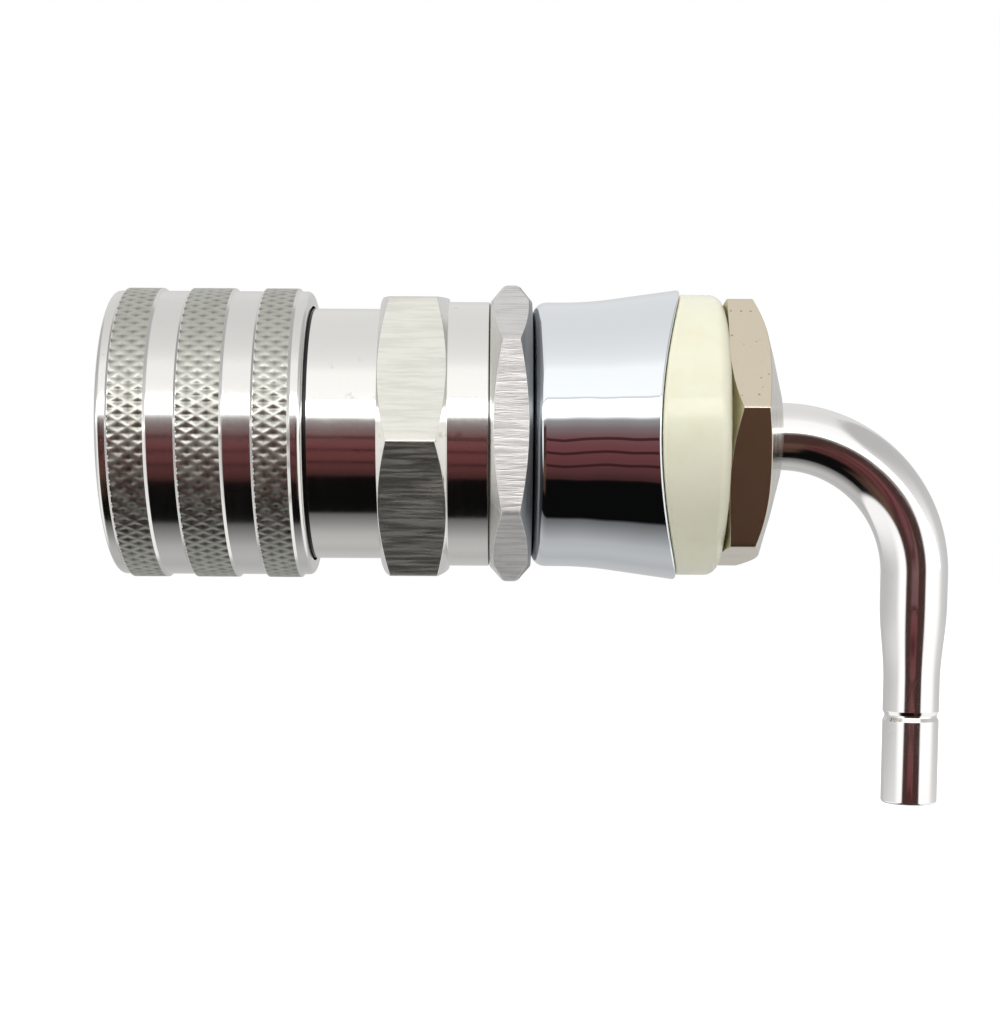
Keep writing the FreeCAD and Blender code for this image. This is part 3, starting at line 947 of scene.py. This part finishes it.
@dataclass
class Coupler:
    """Body of the coupler with its ring, balls and seal, and the nut that locks it on the shank."""

    nose_radius: float = 15.5
    neck_radius: float = 18.6
    neck_length: float = 5.75
    hex_width: float = 9.35
    hex_across: float = 38.1
    hex_corner_at: float = -4.6
    hex_inset: float = 0.12
    hex_chamfer: float = 25.0
    hex_half_steps: int = 22
    barrel_radius: float = 17.6
    barrel_front: float = -49.53
    # Rear end of the barrel's painted shadow band behind the sleeve's lip
    shadow_band_rear: float = -47.42
    edge: float = 0.3
    socket_radius: float = 12.05
    mouth: float = 0.6
    guide: float = 6.6
    relief: float = 0.25
    gland_front: float = -59.83
    gland_width: float = 3.4
    gland_radius: float = 14.3
    land: float = 1.5
    socket_bottom: float = -52.0
    thread_bottom: float = -37.5
    flow_radius: float = 4.5
    thread_radius: float = 11.46
    groove_front: float = -73.93
    groove_rear: float = -72.83
    groove_radius: float = 14.4
    ball_x: float = -63.83
    ball_count: int = 8
    ball_rows: int = 29
    ball_columns: int = 48
    pocket_gap: float = 0.05
    pocket_rows: int = 9
    pocket_columns: int = 36
    pocket_excess: float = 1.5
    hex_sharpness: float = 190.0
    nut_across: float = 40.0
    nut_corner_at: float = 31.1
    nut_inset: float = 1.35
    nut_chamfer: float = 21.5
    nut_bar: float = 41.4
    nut_sharpness: float = 130.0
    nut_half_steps: int = 26
    tip_fall: float = 1.9
    tip_round: float = 1.1
    tip_from: float = 0.90
    tip_span: float = 0.08
    tip_power: float = 1.6
    ring_opening: float = 24.0
    ring_columns: int = 181
    seal_rows: int = 28
    seal_columns: int = 160

    def build_body(self) -> None:
        """Turned body with a chamfered hexagon, then eight ball pockets cut through the nose."""
        low, high = extent("coupler_body")
        front, rear = low[0], high[0]
        angles = hexagon_angles(self.hex_corner_at, self.hex_half_steps)
        reach = hexagon_reach(angles, self.hex_across, self.hex_corner_at, self.hex_sharpness)
        hex_rear = rear - self.neck_length
        hex_front = hex_rear - self.hex_width
        start = self.hex_across / 2.0 - self.hex_inset
        fall = (reach - start) * math.tan(math.radians(self.hex_chamfer))
        guide_rear = front + self.mouth + self.guide
        gland_rear = self.gland_front + self.gland_width
        land_front = self.gland_front - self.land
        relief_radius = self.socket_radius + self.relief
        keys = [
            (front, self.nose_radius, self.edge), (self.groove_front, self.nose_radius, KEEN),
            (self.groove_front, self.groove_radius, SCRAPED), (self.groove_rear, self.groove_radius, SCRAPED),
            (self.groove_rear, self.nose_radius, KEEN), (self.barrel_front, self.nose_radius, CRISP),
            (self.barrel_front, self.barrel_radius, self.edge), (self.shadow_band_rear, self.barrel_radius),
            (hex_front, self.barrel_radius, CLEAN), (hex_front, start, CRISP),
            (hex_front + fall, reach, FINE), (hex_rear - fall, reach, FINE),
            (hex_rear, start, CRISP), (hex_rear, self.neck_radius, CLEAN),
            (rear, self.neck_radius, self.edge), (rear, self.thread_radius + self.edge),
            (rear - self.edge, self.thread_radius), (self.thread_bottom, self.thread_radius),
            (self.thread_bottom, self.flow_radius, CRISP), (self.socket_bottom, self.flow_radius, BLUNT),
            (self.socket_bottom, self.socket_radius, EASED), (gland_rear, self.socket_radius, CRISP),
            (gland_rear, self.gland_radius, CRISP), (self.gland_front, self.gland_radius, CRISP),
            (self.gland_front, self.socket_radius, CRISP), (land_front, self.socket_radius),
            (land_front - self.relief, relief_radius), (guide_rear + self.relief, relief_radius),
            (guide_rear, self.socket_radius), (front + self.mouth, self.socket_radius, CRISP),
            (front, self.socket_radius + self.mouth, CRISP)]
        # The barrel from its front to the end of its dark band takes the near-black finish: a painted shadow
        # under the sleeve's rear lip
        piece = turned_piece("coupler_body_surface", keys, angles, BARREL_STEEL, HEX_STEEL, PAINTED_SHADOW_STEEL,
                             dressed={6: 2, 10: 1})
        self.cut_pockets(piece)
        fit(piece, "coupler", "coupler_body")

    def balls(self) -> tuple[float, float, list[Array]]:
        """Radius of a ball, distance of its centre from the axis, and the outward direction of each.

        Returns:
            The two lengths, read from the ball on the viewer's side, and unit vectors in the balls' order.
        """
        low, high = extent("ball_1")
        angles = [2.0 * np.pi * number / self.ball_count for number in range(self.ball_count)]
        outward = [np.array([0.0, -math.cos(angle), math.sin(angle)]) for angle in angles]
        return (high[2] - low[2]) / 2.0, -(low[1] + high[1]) / 2.0, outward

    def cut_pockets(self, piece: bpy.types.Object) -> None:
        """Cuts a round-bottomed pocket for each ball, open to the outside.

        Args:
            piece: the body, whose mesh is changed for the cut one.
        """
        ball_radius, centre_radius, outward = self.balls()
        radius = ball_radius + self.pocket_gap
        bottom = np.linspace(0.0, np.pi / 2.0, self.pocket_rows)[1:]
        top = self.nose_radius - centre_radius + self.pocket_excess
        reach = np.concatenate([-radius * np.cos(bottom), [top]])
        width = np.concatenate([radius * np.sin(bottom), [radius]])
        lap = even_angles(self.pocket_columns)[:, None]
        along = np.array([1.0, 0.0, 0.0])
        cutter = Shell()
        for out in outward:
            ring = np.cos(lap) * along + np.sin(lap) * np.cross(out, along)
            centre = along * self.ball_x + out * centre_radius
            points = centre + reach[:, None, None] * out + width[:, None, None] * ring
            numbers = cutter.add_points(points)
            cutter.add_strips(numbers)
            cutter.add_faces(numbers[-1:])
            cutter.add_fan(numbers[0], centre - radius * out)
        tool = cutter.build("pocket_cutter", BARREL_STEEL)
        cut = piece.modifiers.new("pockets", "BOOLEAN")
        cut.operation, cut.solver, cut.object = "DIFFERENCE", "EXACT", tool
        bpy.context.view_layer.update()
        whole = piece.evaluated_get(bpy.context.evaluated_depsgraph_get())
        mesh = bpy.data.meshes.new_from_object(whole)
        piece.modifiers.clear()
        piece.data = mesh
        mesh.set_sharp_from_angle(angle=CREASE)
        weigh_normals(piece)
        bpy.data.objects.remove(tool)

    def build_nut(self) -> None:
        """Thin hexagon nut with chamfered faces and two blunt points.

        The chamfer and the rounding grow towards the points by ((|sin of the angle| - from) / span)^power.
        """
        low, high = extent("lock_nut")
        angles = hexagon_angles(self.nut_corner_at, self.nut_half_steps)
        shape = (angles, self.nut_across, self.nut_corner_at, self.nut_sharpness)
        reach = hexagon_reach(*shape, self.nut_bar)
        start = self.nut_across / 2.0 - self.nut_inset
        fall = (hexagon_reach(*shape) - start) * math.tan(math.radians(self.nut_chamfer))
        tip = np.clip((np.abs(np.sin(angles)) - self.tip_from) / self.tip_span, 0.0, 1.0) ** self.tip_power
        fall += (self.tip_fall - fall) * tip
        edge = FINE + (self.tip_round - FINE) * tip
        keys = [(low[0], self.thread_radius + self.edge), (low[0], start, FINE), (low[0] + fall, reach, edge),
                (high[0] - fall, reach, edge), (high[0], start, FINE),
                (high[0], self.thread_radius + self.edge), (high[0] - self.edge, self.thread_radius),
                (low[0] + self.edge, self.thread_radius)]
        # Both faces and the rear chamfer take the near-black finish: painted shade in the joints beside the
        # nut
        piece = turned_piece("lock_nut_surface", keys, angles, NUT_STEEL, NUT_FLAT_STEEL, PAINTED_NUT_SHADE,
                             dressed={0: 2, 2: 1, 3: 2, 4: 2})
        fit(piece, "coupler", "lock_nut")

    def build_ring(self) -> None:
        """Open snap ring: a rounded oblong carried round the axis, with flat ends at its opening."""
        low, high = extent("retaining_ring")
        keys = flat_ring(low, high, self.groove_radius + self.pocket_gap, -low[1], FINE, EASED)
        half = math.radians(self.ring_opening / 2.0)
        angles = np.linspace(np.pi / 2.0 + half, np.pi * 2.5 - half, self.ring_columns)
        rows, _ = round_corners(keys, len(angles))
        shell = Shell()
        numbers = shell.add_points(around_axis(rows, angles))
        shell.add_strips(numbers, wrap_columns=False, wrap_rows=True)
        shell.add_faces(numbers[:, [0, -1]].T)
        piece = shell.build("retaining_ring_surface", SPRING_STEEL)
        fit(piece, "coupler", "retaining_ring")

    def build_balls(self) -> None:
        """Locking balls, each a round grid with its poles on X."""
        radius, centre_radius, outward = self.balls()
        lift = np.linspace(0.0, np.pi, self.ball_rows)[1:-1]
        rows = np.stack([-radius * np.cos(lift), radius * np.sin(lift)], axis=-1)[:, None]
        around = around_axis(rows.repeat(self.ball_columns, axis=1), even_angles(self.ball_columns))
        along = np.array([1.0, 0.0, 0.0])
        for number, out in enumerate(outward, 1):
            centre = along * self.ball_x + out * centre_radius
            shell = Shell()
            numbers = shell.add_points(around + centre)
            shell.add_strips(numbers)
            shell.add_fan(numbers[0], centre - along * radius)
            shell.add_fan(numbers[-1], centre + along * radius)
            name = "ball_%d" % number
            fit(shell.build(name + "_surface", BALL_STEEL), name, name)

    def build_seal(self) -> None:
        """O-ring: a circle carried round the axis."""
        low, high = extent("plug_seal")
        section = (high[0] - low[0]) / 2.0
        lap = even_angles(self.seal_rows)
        rows = np.stack([(low[0] + high[0]) / 2.0 + section * np.cos(lap),
                         high[2] - section + section * np.sin(lap)], axis=-1)[:, None]
        points = around_axis(rows.repeat(self.seal_columns, axis=1), even_angles(self.seal_columns))
        shell = Shell()
        shell.add_strips(shell.add_points(points), wrap_rows=True)
        fit(shell.build("plug_seal_surface", SEAL_RUBBER), "coupler", "plug_seal")


@dataclass
class Clamp:
    """Flange and spacer that hold the column's wall between them."""

    columns: int = 256
    column_radius: float = 57.15
    flange_radius: float = 18.6
    flare_start: float = 4.1
    flare_radius: float = 50.0
    flare_angle: float = 8.0
    flare_rows: int = 7
    wall: float = 2.2
    end_wall: float = 3.0
    end_round: float = 0.6
    front_round: float = 2.1
    rim_round: float = 0.35
    rim_tries: int = 6
    hole_radius: float = 11.47
    spacer_gap: float = 0.15
    spacer_round: float = 1.8
    spacer_rim_round: float = 0.5
    spacer_bore: float = 11.7
    face_rows: int = 9
    face_margins: tuple[float, float] = (0.3, 1.0)

    def saddle(self, radius: object, angles: Array, gap: float = 0.0) -> Array:
        """Place along X of the column's surface at a distance from the axis: c - sqrt((c - gap)^2 - z^2).

        Args:
            radius: distance from the axis, a number or one for each angle.
            angles: angles around the axis.
            gap: clearance to the column.

        Returns:
            x for each angle.
        """
        height = radius * np.sin(angles)
        return self.column_radius - np.sqrt((self.column_radius - gap) ** 2 - height ** 2)

    def build_flange(self) -> None:
        """Flared hollow cup whose rim follows the column, its radius found by trying again."""
        front = extent("flange")[0][0]
        angles = even_angles(self.columns)
        slope = math.tan(math.radians(self.flare_angle))
        flare = np.radians(np.linspace(0.0, self.flare_angle, self.flare_rows))
        flare_x = front + self.flare_start + self.flare_radius * np.sin(flare)
        flare_r = self.flange_radius + self.flare_radius * (1.0 - np.cos(flare))
        rim = np.full(len(angles), flare_r[-1])
        for _ in range(self.rim_tries):
            rim = flare_r[-1] + (self.saddle(rim, angles) - flare_x[-1]) * slope
        inner, bottom = self.flange_radius - self.wall, front + self.end_wall
        keys = [(front, self.hole_radius, SOFT), (front, self.flange_radius, self.front_round),
                *zip(flare_x, flare_r), (self.saddle(rim, angles), rim, self.rim_round),
                (self.saddle(inner, angles), inner, SOFT), (bottom, inner, self.end_round),
                (bottom, self.hole_radius, SOFT)]
        piece = turned_piece("flange_surface", keys, angles, CHROME)
        fit(piece, "flange_slider", "flange")

    def build_spacer(self) -> None:
        """Moulded disc whose front face bulges into the column's wall."""
        _, high = extent("spacer")
        angles = even_angles(self.columns)
        rear, outer = high[0], high[2]
        first, last = self.face_margins
        face = np.linspace(self.spacer_bore + first, outer - last, self.face_rows)
        radii = [self.spacer_bore, *face, outer]
        rounds = [EASED, EASED] + [0.0] * (self.face_rows - 1) + [self.spacer_rim_round]
        keys = [(self.saddle(r, angles, self.spacer_gap), r, edge) for r, edge in zip(radii, rounds)]
        keys += [(rear, outer, self.spacer_round), (rear, self.spacer_bore, BLUNT)]
        fit(turned_piece("spacer_surface", keys, angles, IVORY_NYLON), "root", "spacer")


@dataclass
class Shank:
    """Threaded shank with its hexagonal head, the washer at its end and the bent tail."""

    radius: float = 11.4
    pitch: float = 1.814
    thread_depth: float = 1.0
    crest_share: float = 0.12
    end_chamfer: float = 0.8
    run_out: float = 2.5
    run_in: float = 0.6
    rows_in_pitch: int = 8
    thread_gaps: tuple[float, float] = (0.1, 0.3)
    across: float = 34.6
    rim_width: float = 4.8
    corner_at: float = 8.8
    half_steps: int = 20
    chamfer: float = 26.0
    crown: float = 1.3
    least_over: float = 0.02
    head_front: float = 9.6
    dome_radius: float = 13.0
    boss_radius: float = 6.9
    boss_round: float = 0.9
    head_rear: float = 18.0
    bore: float = 4.0
    sharpness: float = 190.0
    seal_gap: float = 0.55
    seal_columns: int = 120
    tail_radius: float = 4.75
    tail_wall: float = 0.9
    tail_start: float = 18.6
    tail_depth: float = 6.45
    tail_gaps: tuple[float, float] = (0.05, 0.02)
    tail_columns: int = 72
    bend_radius: float = 19.5
    bend_angle: float = 90.1
    bend_rows: int = 61
    leg: float = 33.0
    taper_start: float = 4.0
    taper_length: float = 11.5
    taper_rows: int = 25
    stem_radius: float = 4.0
    stem_wall: float = 0.9
    groove_at: float = 20.3
    groove_width: float = 1.4
    groove_depth: float = 0.28
    groove_floor: float = 0.2
    tip_round: float = 0.85

    def thread_rows(self, front: float, rear: float, angles: Array) -> Array:
        """Rows of the thread: r falls from the crest by the depth times a wave of x / pitch - angle / turn.

        The wave is a triangle clipped at crest and root, and it fades at both ends.

        Args:
            front: x of the first row.
            rear: x of the last row.
            angles: angle of each column.

        Returns:
            (rows, columns, 2) of x and r.
        """
        x = np.linspace(front, rear, int((rear - front) / self.pitch * self.rows_in_pitch))[:, None]
        phase = x / self.pitch - angles[None, :] / (2.0 * np.pi)
        wave = np.abs(phase - np.round(phase)) * 2.0
        share = np.clip((wave - self.crest_share) / (1.0 - 2.0 * self.crest_share), 0.0, 1.0)
        fade = np.clip((rear - x) / self.run_out, 0.0, 1.0) * np.clip((x - front) / self.run_in, 0.0, 1.0)
        r = self.radius - self.thread_depth * share * fade
        return np.stack([np.broadcast_to(x, r.shape), r], axis=-1)

    def build_shank(self) -> None:
        """One closed shell: thread, chamfered hexagon, domed back, tail socket and bore."""
        front = extent("shank")[0][0]
        angles = hexagon_angles(self.corner_at, self.half_steps)
        columns = len(angles)
        reach = hexagon_reach(angles, self.across, self.corner_at, self.sharpness)
        flat = self.across / 2.0
        corner = flat / math.cos(math.radians(30.0))
        rim = self.head_front + self.rim_width
        back_slope = (self.head_rear - rim) / (corner - self.boss_radius)
        over = np.maximum(reach - flat, self.least_over)
        fall = over * math.tan(math.radians(self.chamfer)) * np.cos(angles) ** 2
        crown = self.crown * np.sin(angles) ** 2 * over / (corner - flat)
        end_gap, side_gap = self.tail_gaps
        tail_socket = self.tail_radius + side_gap
        socket_front = self.head_rear - self.tail_depth - end_gap
        thread_front = front + self.end_chamfer
        before = [(front, self.bore, CRISP), (front, self.radius - self.end_chamfer),
                  (thread_front, self.radius)]
        after = [(self.head_front, self.radius, CRISP), (self.head_front, flat, HAIR),
                 (self.head_front + fall, reach, FINE),
                 (rim + (corner - reach) * back_slope - crown, reach, CLEAN),
                 (rim + (corner - self.dome_radius) * back_slope, self.dome_radius),
                 (self.head_rear, self.boss_radius, self.boss_round), (self.head_rear, tail_socket),
                 (socket_front, tail_socket), (socket_front, self.bore)]
        first, _ = round_corners(before, columns, closed=False)
        last, sides = round_corners(after, columns, closed=False)
        start_gap, stop_gap = self.thread_gaps
        thread = self.thread_rows(thread_front + start_gap, self.head_front - stop_gap, angles)
        shell = Shell()
        numbers = shell.add_points(around_axis(np.concatenate([first, thread, last]), angles))
        # Thread, then the head's front face, its flats, and all behind them
        slots = np.concatenate([np.full(len(first) + len(thread), 2), np.array([3, 3, 0] + [1] * 6)[sides]])
        shell.add_strips(numbers, wrap_rows=True, slots=slots)
        piece = shell.build("shank_surface", HEAD_METAL, HEAD_BACK, THREAD_STEEL, HEAD_INNER)
        fit(piece, "root", "shank")

    def build_washer(self) -> None:
        """Fibre washer between the end of the shank and the floor of its thread."""
        low, high = extent("shank_seal")
        keys = flat_ring(low, high, self.bore + self.seal_gap, high[2], CLEAN, EASED)
        piece = turned_piece("shank_seal_surface", keys, even_angles(self.seal_columns), SEAL_RUBBER)
        fit(piece, "root", "shank_seal")

    def build_tail(self) -> None:
        """Tube carried along a straight stub, an arc and a straight leg.

        A point at length s along the path and distance r from it is C(s) + r (cos a) Y + r (sin a) N(s),
        where C is the path and N its normal in the XZ plane.
        """
        stub = self.tail_depth + self.tail_start - self.head_rear
        bend = math.radians(self.bend_angle) * self.bend_radius
        leg_at = stub + bend
        taper_at = leg_at + self.taper_start
        end = leg_at + self.leg
        groove, half = leg_at + self.groove_at, self.groove_width / 2.0
        inner, stem_inner = self.tail_radius - self.tail_wall, self.stem_radius - self.stem_wall
        arc = np.linspace(0.0, 1.0, self.bend_rows)
        share = np.linspace(0.0, 1.0, self.taper_rows)
        fall = (self.tail_radius - self.stem_radius) * (0.5 - 0.5 * np.cos(np.pi * share))
        floor, floor_half = self.stem_radius - self.groove_depth, self.groove_floor * half
        keys = [(0.0, self.tail_radius, CRISP), *((s, self.tail_radius) for s in stub + bend * arc),
                *zip(taper_at + self.taper_length * share, self.tail_radius - fall),
                (groove - half, self.stem_radius, FINE), (groove - floor_half, floor, BLUNT),
                (groove + floor_half, floor, BLUNT), (groove + half, self.stem_radius, FINE),
                (end, self.stem_radius, self.tip_round), (end, stem_inner, EASED),
                (taper_at + self.taper_length, stem_inner), (taper_at, inner),
                *((s, inner) for s in stub + bend * arc[::-1]), (0.0, inner, CRISP)]
        rows, _ = round_corners(keys, 1)
        along, radius = rows[:, 0, 0], rows[:, 0, 1]
        turn = np.clip((along - stub) / self.bend_radius, 0.0, math.radians(self.bend_angle))
        past = np.where(along < stub, along - stub, np.maximum(along - leg_at, 0.0))
        x = self.tail_start + self.bend_radius * np.sin(turn) + past * np.cos(turn)
        z = -self.bend_radius * (1.0 - np.cos(turn)) - past * np.sin(turn)
        angles = even_angles(self.tail_columns)[None, :, None]
        normal = np.stack([np.sin(turn), np.zeros_like(turn), np.cos(turn)], axis=-1)
        around = np.cos(angles) * np.array([0.0, -1.0, 0.0]) + np.sin(angles) * normal[:, None]
        centre = np.stack([x, np.zeros_like(x), z], axis=-1)
        shell = Shell()
        shell.add_strips(shell.add_points(centre[:, None] + radius[:, None, None] * around), wrap_rows=True)
        piece = shell.build("tail_tube_surface", TAIL_STEEL, weighted=False)
        self.lay_map(piece.data, along)
        fit(piece, "root", "tail_tube")

    def lay_map(self, mesh: bpy.types.Mesh, along: Array) -> None:
        """UV map whose u runs round the tube and whose v runs along it, both in millimetres.

        Args:
            mesh: the tube's mesh.
            along: length along the path of each row.
        """
        corners = np.empty(len(mesh.loops), dtype=int)
        mesh.loops.foreach_get("vertex_index", corners)
        row, column = np.divmod(corners, self.tail_columns)
        u = np.abs(column / self.tail_columns - 0.5) * 2.0 * np.pi * self.tail_radius
        layer = mesh.uv_layers.new(name="along")
        layer.data.foreach_set("uv", np.stack([u, along[row]], axis=-1).ravel().astype(np.float32))


# Stage, light and camera


@dataclass(frozen=True)
class Studio:
    """Pale floor, soft lamps, surroundings that metal reflects, and the camera."""

    floor_drop: float = 22.0
    floor_half: float = 1500.0
    floor_glow: float = 0.8
    lens: float = 67.14
    sensor: float = 36.0
    camera_place: tuple[float, float, float] = (-21.4, -275.0, -11.06)
    camera_roll: float = -0.3
    camera_pitch: float = 5.0
    diffuse_level: float = 0.30
    gain: float = 1.5
    window_strength: float = 2.6
    stripe_pitch: float = 11.2
    stripe_lag: float = 6.0
    stripe_bend: float = 1.3
    stripe_waves: float = 11.0
    stripe_share: float = 0.8

    def build_floor(self) -> None:
        """Pale floor under the object, white to the camera."""
        low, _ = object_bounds()
        half, level = self.floor_half * MM, low[2] - self.floor_drop * MM
        corners = [(x, y, level) for x, y in ((-half, -half), (half, -half), (half, half), (-half, half))]
        mesh = bpy.data.meshes.new("floor")
        mesh.from_pydata(corners, [], [(0, 1, 2, 3)])
        material = bpy.data.materials.new("floor_paint")
        material.use_nodes = True
        graph = Graph(material.node_tree)
        shader = material.node_tree.nodes["Principled BSDF"].inputs
        seen = graph.node("LightPath").outputs["Is Camera Ray"]
        for key, value in (("Base Color", (0.75, 0.75, 0.75, 1.0)), ("Roughness", 0.9),
                           ("Specular IOR Level", 0.0), ("Emission Color", WHITE),
                           ("Emission Strength", graph.times(seen, self.floor_glow))):
            graph.feed(shader[key], value)
        mesh.materials.append(material)
        floor = bpy.data.objects.new("floor", mesh)
        floor.visible_glossy = False
        bpy.context.scene.collection.objects.link(floor)
        floor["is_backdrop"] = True

    def build_lamps(self) -> None:
        """Broad lamps that light only matt surfaces."""
        for name, place, size, power in (("main_lamp", (-0.10, -0.50, 0.66), 0.6, 5.45),
                                         ("back_lamp", (0.5, 0.7, 0.5), 0.7, 1.0)):
            lamp = bpy.data.lights.new(name, "AREA")
            lamp.size = size
            lamp.energy = power
            holder = bpy.data.objects.new(name, lamp)
            holder.location = place
            aim = -np.array(place)
            holder.rotation_euler = (math.atan2(math.hypot(aim[0], aim[1]), -aim[2]), 0.0,
                                     math.atan2(aim[0], -aim[1]) + math.pi)
            holder.visible_glossy = False
            bpy.context.scene.collection.objects.link(holder)

    def bands(self) -> list[tuple[float, Colour]]:
        """What metal sees straight ahead, by the angle in degrees from the viewer towards +Z.

        Returns:
            Angles and colours, the colours as shares of the gain.
        """
        grey = [(-180, 0.60), (-144, 0.60), (-136, 0.56), (-120, 0.62), (-106, 0.56), (-95, 0.39),
                (-84, 0.22), (-80, 0.16), (-78, 0.004), (-41, 0.004)]
        warm = [(-39.5, (0.060, 0.024, 0.023)), (-33, (0.110, 0.039, 0.039)), (-25, (0.145, 0.049, 0.050)),
                (-12, (0.19, 0.064, 0.067)), (-4, (0.205, 0.090, 0.094)), (4, (0.25, 0.19, 0.19)),
                (11, (0.38, 0.36, 0.36))]
        bright = [(14, 1.5), (28, 1.5), (28.7, 0.75), (29.5, 0.75), (30.2, 1.28), (55, 1.24), (62, 1.08),
                  (70, 1.0), (80, 0.95), (96, 0.91), (144, 0.89), (162, 0.75), (180, 0.60)]
        seen = [(a, (v,) * 3) for a, v in grey] + warm + [(a, (v,) * 3) for a, v in bright]
        return [(angle, tuple(part / self.gain for part in colour)) for angle, colour in seen]

    def walls(self) -> list[tuple[float, Colour]]:
        """What metal sees to the sides, by the angle round Z from the viewer towards +X.

        Returns:
            Angles in degrees and greys, as shares of the gain.
        """
        levels = [(-180, 0.40), (-150, 0.43), (-104, 0.54), (-84, 0.88), (-40, 0.90), (40, 0.90),
                  (110, 0.88), (134, 0.52), (180, 0.40)]
        return [(angle, (level,) * 3) for angle, level in levels]

    def build_world(self) -> None:
        """White to the camera, soft and even to matt surfaces, and a lit room to metal."""
        world = bpy.data.worlds.new("studio")
        bpy.context.scene.world = world
        world.use_nodes = True
        world.cycles.sampling_method = "NONE"
        world.node_tree.nodes.clear()
        graph = Graph(world.node_tree)
        room, degrees = self.room(graph)
        window = graph.times(graph.inside(degrees, (13.0, 15.0), (29.0, 27.0)), self.window_strength)
        seen_by = graph.node("LightPath").outputs
        metal_light, soft_light, backdrop = (
            graph.node("Background", {"Color": colour, "Strength": strength}).outputs[0]
            for colour, strength in ((room, graph.plus(window, self.gain)), (WHITE, self.diffuse_level),
                                     (WHITE, 1.0)))
        lit = graph.node("MixShader", {0: seen_by["Is Diffuse Ray"], 1: metal_light, 2: soft_light})
        shown = graph.node("MixShader", {0: seen_by["Is Camera Ray"], 1: lit.outputs[0], 2: backdrop})
        graph.feed(graph.node("OutputWorld").inputs[0], shown.outputs[0])

    def room(self, graph: Graph) -> tuple[Socket, Socket]:
        """The room that metal sees.

        It is a colour by height angle, browner in its low part off the centre. Metal turned to either
        side sees a pale wall, brighter low down and dimmer high up.

        Args:
            graph: the world's graph.

        Returns:
            The colour, and the height angle of the direction in degrees.
        """
        x, y, z = graph.parts(graph.node("TexCoord").outputs["Generated"])
        forward = graph.times(y, -1.0)
        degrees = graph.times(graph.maths("ARCTAN2", z, forward), 180.0 / math.pi)
        level = graph.node("MapRange", {0: degrees, 1: -180.0, 2: 180.0, 3: 0.0, 4: 1.0}).outputs[0]
        seen = graph.blend(self.stripes(graph, degrees, x), graph.ramp(level, self.bands()),
                           (0.020, 0.006, 0.007, 1.0))
        low_part = graph.inside(degrees, (-60.0, -52.0), (9.0, 4.0))
        off_centre = graph.maths("MAXIMUM", graph.between(x, 0.05, 0.08), graph.between(x, -0.22, -0.42))
        brown = (0.056, 0.031, 0.023, 1.0)
        for low, high, above in ((-46.0, -36.0, (0.088, 0.049, 0.035, 1.0)),
                                 (-28.0, -20.0, (0.046, 0.0235, 0.0205, 1.0))):
            brown = graph.blend(graph.between(degrees, low, high), brown, above)
        seen = graph.blend(graph.times(low_part, off_centre), seen, brown)
        around = graph.times(graph.maths("ARCTAN2", x, forward), 1.0 / math.pi)
        wall = graph.ramp(graph.between(around, -1.0, 1.0), self.walls())
        for low, high, share in ((-0.05, -0.60, 0.80), (0.0, 0.70, 0.40)):
            wall = graph.blend(graph.between(z, low, high), wall, (share, share, share, 1.0))
        ahead = graph.inside(x, (-0.66, -0.58), (0.52, 0.44))
        return graph.blend(ahead, wall, seen), degrees

    def stripes(self, graph: Graph, degrees: Socket, x: Socket) -> Socket:
        """Thin dark lines across the dim red part of the room, bent a little as they run sideways.

        They lie where cos of (degrees + bend sin(waves x) + lag) over the pitch comes near 1.

        Args:
            graph: the world's graph.
            degrees: height angle of the direction.
            x: the direction's part along X.

        Returns:
            A mask from 0 to 1.
        """
        bend = graph.times(graph.maths("SINE", graph.times(x, self.stripe_waves)), self.stripe_bend)
        turns = graph.plus(graph.plus(degrees, bend), self.stripe_lag)
        lines = graph.maths("COSINE", graph.times(turns, 2.0 * math.pi / self.stripe_pitch))
        span = graph.inside(degrees, (-36.0, -32.0), (0.0, -3.0))
        return graph.times(graph.times(graph.between(lines, 0.66, 0.92), span), self.stripe_share)

    def build_camera(self) -> None:
        """Camera at the picture's viewing angle: a small pitch taken up by the shift, and a slight roll."""
        camera = bpy.data.cameras.new("camera")
        camera.lens = self.lens
        camera.sensor_width = self.sensor
        pitch = math.radians(self.camera_pitch)
        camera.shift_y = math.tan(pitch) * self.lens / self.sensor
        holder = bpy.data.objects.new("camera", camera)
        holder.location = [c * MM for c in self.camera_place]
        holder.rotation_euler = (math.pi / 2.0 - pitch, math.radians(self.camera_roll), 0.0)
        bpy.context.scene.collection.objects.link(holder)
        bpy.context.scene.camera = holder


def main() -> None:
    """Builds the groups, the pieces and the stage in order, and sets the view transform."""
    logging.basicConfig(level=logging.INFO, format="%(name)s: %(message)s")
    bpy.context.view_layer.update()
    sleeve, coupler, clamp, shank, studio = Sleeve(), Coupler(), Clamp(), Shank(), Studio()
    for build in (turning_marks, grinding_marks, handling_marks, ripples,
                  sleeve.build, sleeve.build_washer, sleeve.build_spring,
                  coupler.build_body, coupler.build_nut, coupler.build_ring, coupler.build_balls,
                  coupler.build_seal, clamp.build_flange, clamp.build_spacer,
                  shank.build_shank, shank.build_washer, shank.build_tail,
                  studio.build_floor, studio.build_lamps, studio.build_world, studio.build_camera):
        build()
    bpy.context.scene.view_settings.view_transform = "Standard"


if __name__ == "__main__":
    main()
